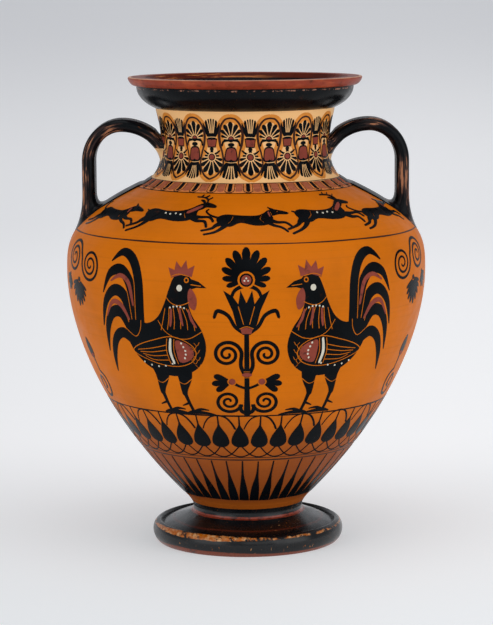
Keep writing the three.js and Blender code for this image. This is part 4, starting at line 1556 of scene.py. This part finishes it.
def shell(flat, triangles, lift):
    """A closed shell over some triangles: (x, y, height) points and faces.

    Where triangles meet in a corner only, each group of neighbours gets its own copy of the corner.
    """
    corner_copy, tops, around = {}, [], {}
    for t, corners in enumerate(triangles):
        for corner in corners:
            around.setdefault(corner, []).append(t)
    for corner, fans in around.items():
        waiting = set(fans)
        while waiting:
            group, queue = set(), [waiting.pop()]
            while queue:
                t = queue.pop()
                group.add(t)
                others = set(triangles[t]) - {corner}
                joined = {u for u in waiting if others & set(triangles[u])}
                waiting -= joined
                queue += joined
            for t in group:
                corner_copy[t, corner] = len(tops)
            tops.append(flat[corner])
    count = len(tops)
    upper = [tuple(corner_copy[t, c] for c in corners) for t, corners in enumerate(triangles)]
    lower = [tuple(c + count for c in face[::-1]) for face in upper]
    sides = {(a, b) for face in upper for a, b in zip(face, face[1:] + face[:1])}
    walls = [(a + count, b + count, b, a) for a, b in sides if (b, a) not in sides]
    points = [(x, y, lift) for x, y in tops] + [(x, y, -BEDDED) for x, y in tops]
    return np.array(points), upper + lower + sorted(walls)


def shells_of(drawing, raised=0.0):
    """The shells of a drawing, one for each ink that shows in it: (ink, points, faces)."""
    flat, triangles, ink_of = painted_triangles(drawing)
    for ink in INKS:
        chosen = triangles[ink_of == ink]
        if len(chosen):
            yield ink, *shell(flat, [tuple(corners) for corners in chosen.tolist()], INKS[ink].lift + raised)


def on_side(s, angle, lift):
    """Points over the jar's side, at a length up it and an angle from the front."""
    r, z, out_r, out_z = SIDE.at(s)
    reach = r + lift * out_r
    return np.stack([reach * np.sin(angle), -reach * np.cos(angle), z + lift * out_z], axis=1)


def laid(points, base, turn=0.0, reference=None):
    """Puts (x, y, height) points on the jar: y runs up its side from base, x round it from turn degrees.

    The reference is the radius at which x has its true width; without one it has it at every height.
    """
    x, y, lift = points.T
    return on_side(base + y, math.radians(turn) + x / (reference or SIDE.at(base + y)[0]), lift)


def unsteady(points, sideways, upwards, seed):
    """Shifts points a little along the jar's surface, as a brush held by hand would."""
    x, y, z = points.T
    angle = np.arctan2(x, -y)
    r, out_r, _ = SIDE.at_height(z)
    s = np.interp(z, SIDE.z, SIDE.s)
    lift = (np.hypot(x, y) - r) / out_r
    wave = np.sin(5 * angle + seed) + 0.7 * np.sin(11 * angle + 2.1 * seed)
    wave += 0.5 * np.sin(23 * angle + s / 17 + seed)
    sway = np.sin(7 * angle + s / 23 + seed) + 0.6 * np.sin(19 * angle + s / 9 + 1.7 * seed)
    s = s + upwards * wave / 2
    return on_side(s, angle + sideways * sway / 1.6 / SIDE.at(s)[0], lift)


def read(items, field, width=1, kind=float):
    """One field of a mesh's points, faces or corners, as an array."""
    values = np.empty(len(items) * width, kind)
    items.foreach_get(field, values)
    return values.reshape(-1, width) if width > 1 else values


def shade_like_clay(mesh):
    """Gives a shell's outer faces the normals of the jar's side."""
    x, y, z = (read(mesh.vertices, "co", 3) / MM).T
    _, out_r, out_z = SIDE.at_height(z)
    radius = np.hypot(x, y)
    outward = np.stack([x / radius * out_r, y / radius * out_r, out_z], axis=1)
    totals = read(mesh.polygons, "loop_total", kind=int)
    face_normals = np.repeat(read(mesh.polygons, "normal", 3), totals, axis=0)
    wanted = outward[read(mesh.loops, "vertex_index", kind=int)]
    facing = (face_normals * wanted).sum(axis=1)[:, None]
    result = np.where(facing > 0.5, wanted, np.where(facing < -0.5, -wanted, face_normals))
    mesh.normals_split_custom_set(result.tolist())


def paint_piece(name, ink, points, faces):
    """A shell of slip in one ink, shaded like the clay under it."""
    piece = new_piece(name, points, faces, [finish_named(INKS[ink].finish)])
    shade_like_clay(piece.data)
    settle(piece, INKS[ink].slot)


def paint(name, drawings, hand=(0.0, 0.0), raised=0.0):
    """Lays drawings on the jar, one piece for each ink. Each is (drawing, base, turn, reference)."""
    shells = {ink: ([], []) for ink in INKS}
    for drawing, *spot in drawings:
        for ink, points, faces in shells_of(drawing, raised):
            all_points, all_faces = shells[ink]
            all_faces += [tuple(corner + len(all_points) for corner in face) for face in faces]
            all_points += laid(points, *spot).tolist()
    for ink, (points, faces) in shells.items():
        if points:
            paint_piece(f"{name}_{INKS[ink].name}", ink, unsteady(np.array(points), *hand, len(name)), faces)


def ring_group():
    """Geometry nodes that repeat a unit round the jar's axis."""
    name = "Ring of units"
    if name in bpy.data.node_groups:
        return bpy.data.node_groups[name]
    tree = bpy.data.node_groups.new(name, "GeometryNodeTree")
    tree.is_modifier = True
    tree.interface.new_socket("Geometry", in_out="INPUT", socket_type="NodeSocketGeometry")
    count = tree.interface.new_socket("Count", in_out="INPUT", socket_type="NodeSocketInt")
    count.default_value, count.min_value = 12, 1
    tree.interface.new_socket("First turn", in_out="INPUT", socket_type=NUMBER)
    tree.interface.new_socket("Slip", in_out="INPUT", socket_type="NodeSocketMaterial")
    tree.interface.new_socket("Geometry", in_out="OUTPUT", socket_type="NodeSocketGeometry")
    unit, count, first_turn, slip, _ = (Term(socket) for socket in tree.nodes.new("NodeGroupInput").outputs)
    spots = count.into("GeometryNodeMeshLine", {"Count": count, "Offset": (0, 0, 0)})
    index = Term(tree.nodes.new("GeometryNodeInputIndex").outputs[0])
    step = count.into("ShaderNodeMath", {"Value": 2 * math.pi, "Value_001": count}, operation="DIVIDE")
    rotation = count.into("ShaderNodeCombineXYZ", {"Z": index * step + first_turn})
    values = {"Points": spots, "Instance": unit, "Rotation": rotation}
    units = count.into("GeometryNodeInstanceOnPoints", values)
    solid = count.into("GeometryNodeRealizeInstances", {"Geometry": units})
    coloured = count.into("GeometryNodeSetMaterial", {"Geometry": solid, "Material": slip})
    feed(tree.nodes.new("NodeGroupOutput").inputs, {"Geometry": coloured})
    return tree


def ring(name, drawing, base, reference, count, first_turn, hand=(0.3, 0.3)):
    """Repeats a drawing round the jar, one piece for each ink."""
    group = ring_group()
    keys = {item.name: item.identifier for item in group.interface.items_tree if item.in_out == "INPUT"}
    for ink, points, faces in shells_of(drawing):
        finish = finish_named(INKS[ink].finish)
        unit = new_piece(f"{name}_unit", laid(points, base, 0, reference), faces, [finish])
        modifier = unit.modifiers.new("Ring", "NODES")
        modifier.node_group = group
        for label, value in (("Count", count), ("First turn", math.radians(first_turn)), ("Slip", finish)):
            modifier[keys[label]] = value
        unit.update_tag()
        seen = unit.evaluated_get(bpy.context.evaluated_depsgraph_get())
        mesh = bpy.data.meshes.new_from_object(seen)
        bpy.data.objects.remove(unit)
        spots = read(mesh.vertices, "co", 3) / MM
        corners = [tuple(polygon.vertices) for polygon in mesh.polygons]
        paint_piece(f"{name}_{INKS[ink].name}", ink, unsteady(spots, *hand, len(name)), corners)
        bpy.data.meshes.remove(mesh)


def stripe(name, ink, s, width, seed):
    """A line drawn round the jar on the wheel."""
    angle = 2 * math.pi * np.arange(STRIPE_STEPS) / STRIPE_STEPS
    middle = s + 0.16 * np.sin(2 * angle + seed) + 0.1 * np.sin(9 * angle + 2 * seed)
    half = width / 2 * (1 + 0.14 * np.sin(5 * angle + seed) + 0.12 * np.sin(17 * angle + 3 * seed))
    lift = INKS[ink].lift
    edges = ((-half, -BEDDED), (-half, lift), (half, lift), (half, -BEDDED))
    points = np.stack([on_side(middle + y, angle, height) for y, height in edges], axis=1).reshape(-1, 3)
    faces = []
    for i in range(STRIPE_STEPS):
        j = (i + 1) % STRIPE_STEPS
        faces += [(4 * i + k, 4 * j + k, 4 * j + (k + 1) % 4, 4 * i + (k + 1) % 4) for k in range(4)]
    paint_piece(name, ink, points, faces)


# Where the ornament sits: radii at which drawings have their true width, and lengths up the jar's side
RAY_REFERENCE = 61.6
BUD_REFERENCE = 118.4
NECK_REFERENCE = 77.2
HANDLE_REFERENCE = 160
BUD_MIDDLE = 97
GROUND_LINE = 121.6
HANDLE_ORNAMENT_BASE = 200
SHOULDER_LINE = 284.7
TONGUE_BASE = 353.4
CHAIN_MIDDLE = 401.9

# How many units go round the jar, and the turn of the first one in degrees
RAYS, FIRST_RAY = 44, -2.7
BUD_PAIRS, FIRST_BUD = 21, -3.3
TONGUE_PAIRS, FIRST_TONGUE = 36, 1.4
CHAIN_UNITS = 14
FIRST_CHAIN_UNIT = -9.7 + 360 / CHAIN_UNITS

# Turns of the pictures from the middle of their side, in degrees, and the size of the shoulder's animals
HANDLE_ORNAMENT_TURN = 67.5
COCK_TURN, COCK_TALL = 29, 1.1
CRANE_TURN = 24
ANIMAL_TURN, ANIMAL_SCALE, ANIMAL_RISE = 30.5, 1.12, 8


class AmphoraStripes(bpy.types.Operator):
    """Draw the lines that part one band of ornament from the next"""

    bl_idname = "amphora.stripes"
    bl_label = "Stripes"

    def execute(self, context):
        stripes = (
            (BROWN, 67.4, 1.5),
            (BROWN, 70.6, 0.9),
            (BLACK, GROUND_LINE, 1.4),
            (BROWN, SHOULDER_LINE, 1.3),
            (BLACK, TONGUE_BASE, 1),
            (BROWN, TONGUE_BASE + 15.4, 0.8),
        )
        for k, (ink, s, width) in enumerate(stripes, start=1):
            stripe(f"stripe_{k}", ink, s, width, k)
        return {"FINISHED"}


class AmphoraRays(bpy.types.Operator):
    """Paint the rays that rise from the foot"""

    bl_idname = "amphora.rays"
    bl_label = "Rays"

    def execute(self, context):
        ring("rays", ray(), 0, RAY_REFERENCE, RAYS, FIRST_RAY, (0.5, 0.6))
        return {"FINISHED"}


class AmphoraBuds(bpy.types.Operator):
    """Paint the chain of lotus buds under the pictures"""

    bl_idname = "amphora.buds"
    bl_label = "Lotus buds"

    def execute(self, context):
        ring("lotus_buds", lotus_buds(), BUD_MIDDLE, BUD_REFERENCE, BUD_PAIRS, FIRST_BUD)
        return {"FINISHED"}


class AmphoraTongues(bpy.types.Operator):
    """Paint the black and red tongues under the neck"""

    bl_idname = "amphora.tongues"
    bl_label = "Tongues"

    def execute(self, context):
        ring("tongues", tongue_pair(), TONGUE_BASE, NECK_FOOT_RADIUS, TONGUE_PAIRS, FIRST_TONGUE)
        return {"FINISHED"}


class AmphoraNeckChain(bpy.types.Operator):
    """Paint the lotus and palmette chain on the neck"""

    bl_idname = "amphora.neck_chain"
    bl_label = "Neck chain"

    def execute(self, context):
        unit = neck_chain()
        ring("neck_chain", unit, CHAIN_MIDDLE, NECK_REFERENCE, CHAIN_UNITS, FIRST_CHAIN_UNIT, (0.5, 0.4))
        return {"FINISHED"}


class AmphoraHandleOrnament(bpy.types.Operator):
    """Paint spirals, palmette and leaf on both sides of each handle"""

    bl_idname = "amphora.handle_ornament"
    bl_label = "Handle ornament"

    def execute(self, context):
        near, far = handle_ornament(), placed(handle_ornament(), mirror=True)
        drawings = []
        for middle in (0, 180):
            for drawing, turn in ((near, -HANDLE_ORNAMENT_TURN), (far, HANDLE_ORNAMENT_TURN)):
                drawings.append((drawing, HANDLE_ORNAMENT_BASE, middle + turn, HANDLE_REFERENCE))
        paint("handle_ornament", drawings, (0.4, 0.4))
        return {"FINISHED"}


class AmphoraHandleGround(bpy.types.Operator):
    """Black the shoulder under each handle, between its root and the neck"""

    bl_idname = "amphora.handle_ground"
    bl_label = "Handle ground"

    def execute(self, context):
        patch = [(BLACK, mirrored([(22, 0), (25, 10), (25, 24), (23, 38), (21, 50), (19, 61.6)]))]
        spots = [(patch, TONGUE_BASE - 47, turn, None) for turn in (-90, 90)]
        paint("handle_ground", spots, (0.6, 0.0), raised=0.14)
        return {"FINISHED"}


class AmphoraFrontPicture(bpy.types.Operator):
    """Paint birds on both sides of a flowering stem on the front"""

    bl_idname = "amphora.front_picture"
    bl_label = "Front picture"

    def execute(self, context):
        left, right = (placed(cock(), tall=COCK_TALL, mirror=mirror) for mirror in (False, True))
        spots = ((tree(), 0), (left, -COCK_TURN), (right, COCK_TURN))
        paint("front_picture", [(drawing, GROUND_LINE, turn, None) for drawing, turn in spots])
        return {"FINISHED"}


class AmphoraBackPicture(bpy.types.Operator):
    """Paint birds on both sides of a flowering stem on the back"""

    bl_idname = "amphora.back_picture"
    bl_label = "Back picture"

    def execute(self, context):
        right = placed(crane(), mirror=True)
        spots = ((tree(), 180), (crane(), 180 - CRANE_TURN), (right, 180 + CRANE_TURN))
        paint("back_picture", [(drawing, GROUND_LINE, turn, None) for drawing, turn in spots])
        return {"FINISHED"}


class AmphoraShoulderPicture(bpy.types.Operator):
    """Paint hounds and deer running round the shoulder"""

    bl_idname = "amphora.shoulder_picture"
    bl_label = "Shoulder picture"

    def execute(self, context):
        drawings = []
        for middle in (0, 180):
            for k, animal in enumerate((hound, deer, hound, deer, hound)):
                turn = middle + ANIMAL_TURN * (k - 2)
                drawings.append((placed(animal(), ANIMAL_SCALE), SHOULDER_LINE + ANIMAL_RISE, turn, None))
        paint("shoulder_picture", drawings)
        return {"FINISHED"}


# Stage

# Each lamp's name, place, width, height and power
LAMPS = (
    ("soft_box_left", (-1.7, -1.5, 0.95), 1.9, 1.9, 12.5),
    ("soft_box_right", (1.8, -1.3, 0.95), 1.9, 1.9, 14.5),
    ("soft_box_top", (0.0, -0.5, 2.1), 1.6, 1.2, 9),
    ("soft_box_front", (0.5, -2.8, 1.3), 1.8, 1.4, 6),
)
LAMP_AIM = Vector((0, 0, 0.24))
CAMERA_AIM = Vector((0, 0, 0.2118))

# The floor's ends in Y, the height of its back, the radius of the bend between them and half its width
FLOOR_NEAR = -7.0
FLOOR_FAR = 4.5
BACK_HEIGHT = 3.2
BEND_RADIUS = 1.1
FLOOR_HALF_WIDTH = 7.0
BEND_STEPS = 24

# Tones of the paper: painted shade near the jar, the plain tone further out, and painted shade on the rise
# behind it and far to the sides
PAPER_NEAR_SHADED = srgb(221, 224, 226)
PAPER = srgb(243, 243, 244)
PAPER_RISE_SHADED = srgb(199, 200, 203)
PAPER_SIDES_SHADED = srgb(178, 179, 183)
ROOM = srgb(226, 230, 236)
BLACK_TONE = (0, 0, 0, 1)


def floor_paper():
    """Pale paper that gives some light of its own, with painted shade: darker in front of the jar, on its
    rise and to the sides.
    """
    material, shader, vector = new_material("floor_paper")
    x, y, z = split(vector)
    # Painted shade: the paper in front of the jar is darker, a little less so to the right
    near = ramped(y, 0.55, -0.1) * ramped(x, -0.05, 0.15, 1.0, 0.85)
    tone = mixed(near, rgba(PAPER), rgba(PAPER_NEAR_SHADED))
    # Painted shade: darker up the rise behind the jar
    rise = ramped(y, 0.7, 3.5, 0.0, 0.35) + ramped(z, 0.0, 0.47, 0.0, 0.65)
    tone = mixed(rise, tone, rgba(PAPER_RISE_SHADED))
    # Painted shade: darker far to the sides
    tone = mixed(ramped(abs(x - 0.3), 0.1, 1.0, 0.0, 0.2), tone, rgba(PAPER_SIDES_SHADED))
    values = {
        "Base Color": mixed(0.14, tone, BLACK_TONE),
        # Painted shade: the paper's own glow is dimmer near the jar
        "Emission Color": mixed(ramped(y, 0.4, 2.2, 0.18, 0.0), tone, BLACK_TONE),
        "Emission Strength": 0.6,
        "Roughness": 0.9,
        "Specular IOR Level": 0.1,
    }
    feed(shader, values)
    return material


def build_floor():
    """A pale floor that curves up into a backdrop."""
    line = [(FLOOR_NEAR, 0.0), (FLOOR_FAR - BEND_RADIUS, 0.0)]
    for i in range(1, BEND_STEPS + 1):
        turn = math.pi / 2 * i / BEND_STEPS
        run, rise = BEND_RADIUS * math.sin(turn), BEND_RADIUS * math.cos(turn)
        line.append((FLOOR_FAR - BEND_RADIUS + run, BEND_RADIUS - rise))
    line.append((FLOOR_FAR, BACK_HEIGHT))
    points = [(x, y, z) for y, z in line for x in (-FLOOR_HALF_WIDTH, FLOOR_HALF_WIDTH)]
    faces = [(2 * i, 2 * i + 1, 2 * i + 3, 2 * i + 2) for i in range(len(line) - 1)]
    mesh = bpy.data.meshes.new("floor")
    mesh.from_pydata(points, [], faces)
    mesh.shade_smooth()
    mesh.materials.append(floor_paper())
    floor = bpy.data.objects.new("floor", mesh)
    bpy.context.scene.collection.objects.link(floor)


def build_lamps():
    """Soft boxes from the left, the right, above and the front, and a dim even world that looks brighter."""
    for name, place, width, height, power in LAMPS:
        light = bpy.data.lights.new(name, "AREA")
        light.shape, light.size, light.size_y, light.energy = "RECTANGLE", width, height, power
        lamp = bpy.data.objects.new(name, light)
        lamp.location = place
        lamp.rotation_euler = (LAMP_AIM - lamp.location).to_track_quat("-Z", "Y").to_euler()
        bpy.context.scene.collection.objects.link(lamp)
    world = bpy.data.worlds.new("pale_room")
    world.use_nodes = True
    nodes = world.node_tree.nodes
    seen = Term(nodes.new("ShaderNodeLightPath").outputs["Is Camera Ray"])
    values = {"Color": rgba(ROOM), "Strength": ramped(seen, 0.0, 1.0, 0.4, 0.85)}
    feed(nodes["Background"].inputs, values)
    bpy.context.scene.world = world


def build_camera(stage):
    """A camera that looks at the jar's middle from the front and a little from above."""
    camera = bpy.data.objects.new("camera", bpy.data.cameras.new("camera"))
    back = Vector((0, -math.cos(stage.tilt), math.sin(stage.tilt)))
    camera.location = CAMERA_AIM + back * stage.distance
    upright = (-back).to_track_quat("-Z", "Y")
    camera.rotation_euler = (upright @ Quaternion((0, 0, 1), stage.roll)).to_euler()
    camera.data.lens = stage.lens
    camera.data.clip_start, camera.data.clip_end = 0.1, 30
    bpy.context.scene.collection.objects.link(camera)
    bpy.context.scene.camera = camera
    bpy.context.scene.view_settings.view_transform = "Standard"


PIECE_OPERATORS = (
    AmphoraBody,
    AmphoraNeck,
    AmphoraMouth,
    AmphoraFoot,
    AmphoraHandles,
    AmphoraStripes,
    AmphoraRays,
    AmphoraBuds,
    AmphoraTongues,
    AmphoraNeckChain,
    AmphoraHandleOrnament,
    AmphoraHandleGround,
    AmphoraFrontPicture,
    AmphoraBackPicture,
    AmphoraShoulderPicture,
    AmphoraStageBuild,
)


class AmphoraPanel(bpy.types.Panel):
    """Lists the jar's pieces and their settings"""

    bl_idname = "VIEW3D_PT_amphora"
    bl_label = "Neck amphora"
    bl_space_type = "VIEW_3D"
    bl_region_type = "UI"
    bl_category = "Amphora"

    def draw(self, context):
        for operator in PIECE_OPERATORS:
            self.layout.operator(operator.bl_idname)
        for group in SETTINGS:
            settings = getattr(context.scene, group)
            for name in settings.__annotations__:
                self.layout.prop(settings, name)


SETTINGS = {"amphora_colours": AmphoraColours, "amphora_stage": AmphoraStage}
CLASSES = (*SETTINGS.values(), *PIECE_OPERATORS, AmphoraPanel)


def register():
    for cls in CLASSES:
        bpy.utils.register_class(cls)
    for name, group in SETTINGS.items():
        setattr(bpy.types.Scene, name, bpy.props.PointerProperty(type=group))


def unregister():
    for name in SETTINGS:
        delattr(bpy.types.Scene, name)
    for cls in reversed(CLASSES):
        bpy.utils.unregister_class(cls)


def main():
    register()
    bpy.ops.amphora.stage()
    bpy.ops.amphora.body()
    bpy.ops.amphora.neck()
    bpy.ops.amphora.mouth()
    bpy.ops.amphora.foot()
    bpy.ops.amphora.handles()
    bpy.ops.amphora.stripes()
    bpy.ops.amphora.rays()
    bpy.ops.amphora.buds()
    bpy.ops.amphora.tongues()
    bpy.ops.amphora.neck_chain()
    bpy.ops.amphora.handle_ornament()
    bpy.ops.amphora.handle_ground()
    bpy.ops.amphora.front_picture()
    bpy.ops.amphora.back_picture()
    bpy.ops.amphora.shoulder_picture()


if __name__ == "__main__":
    main()
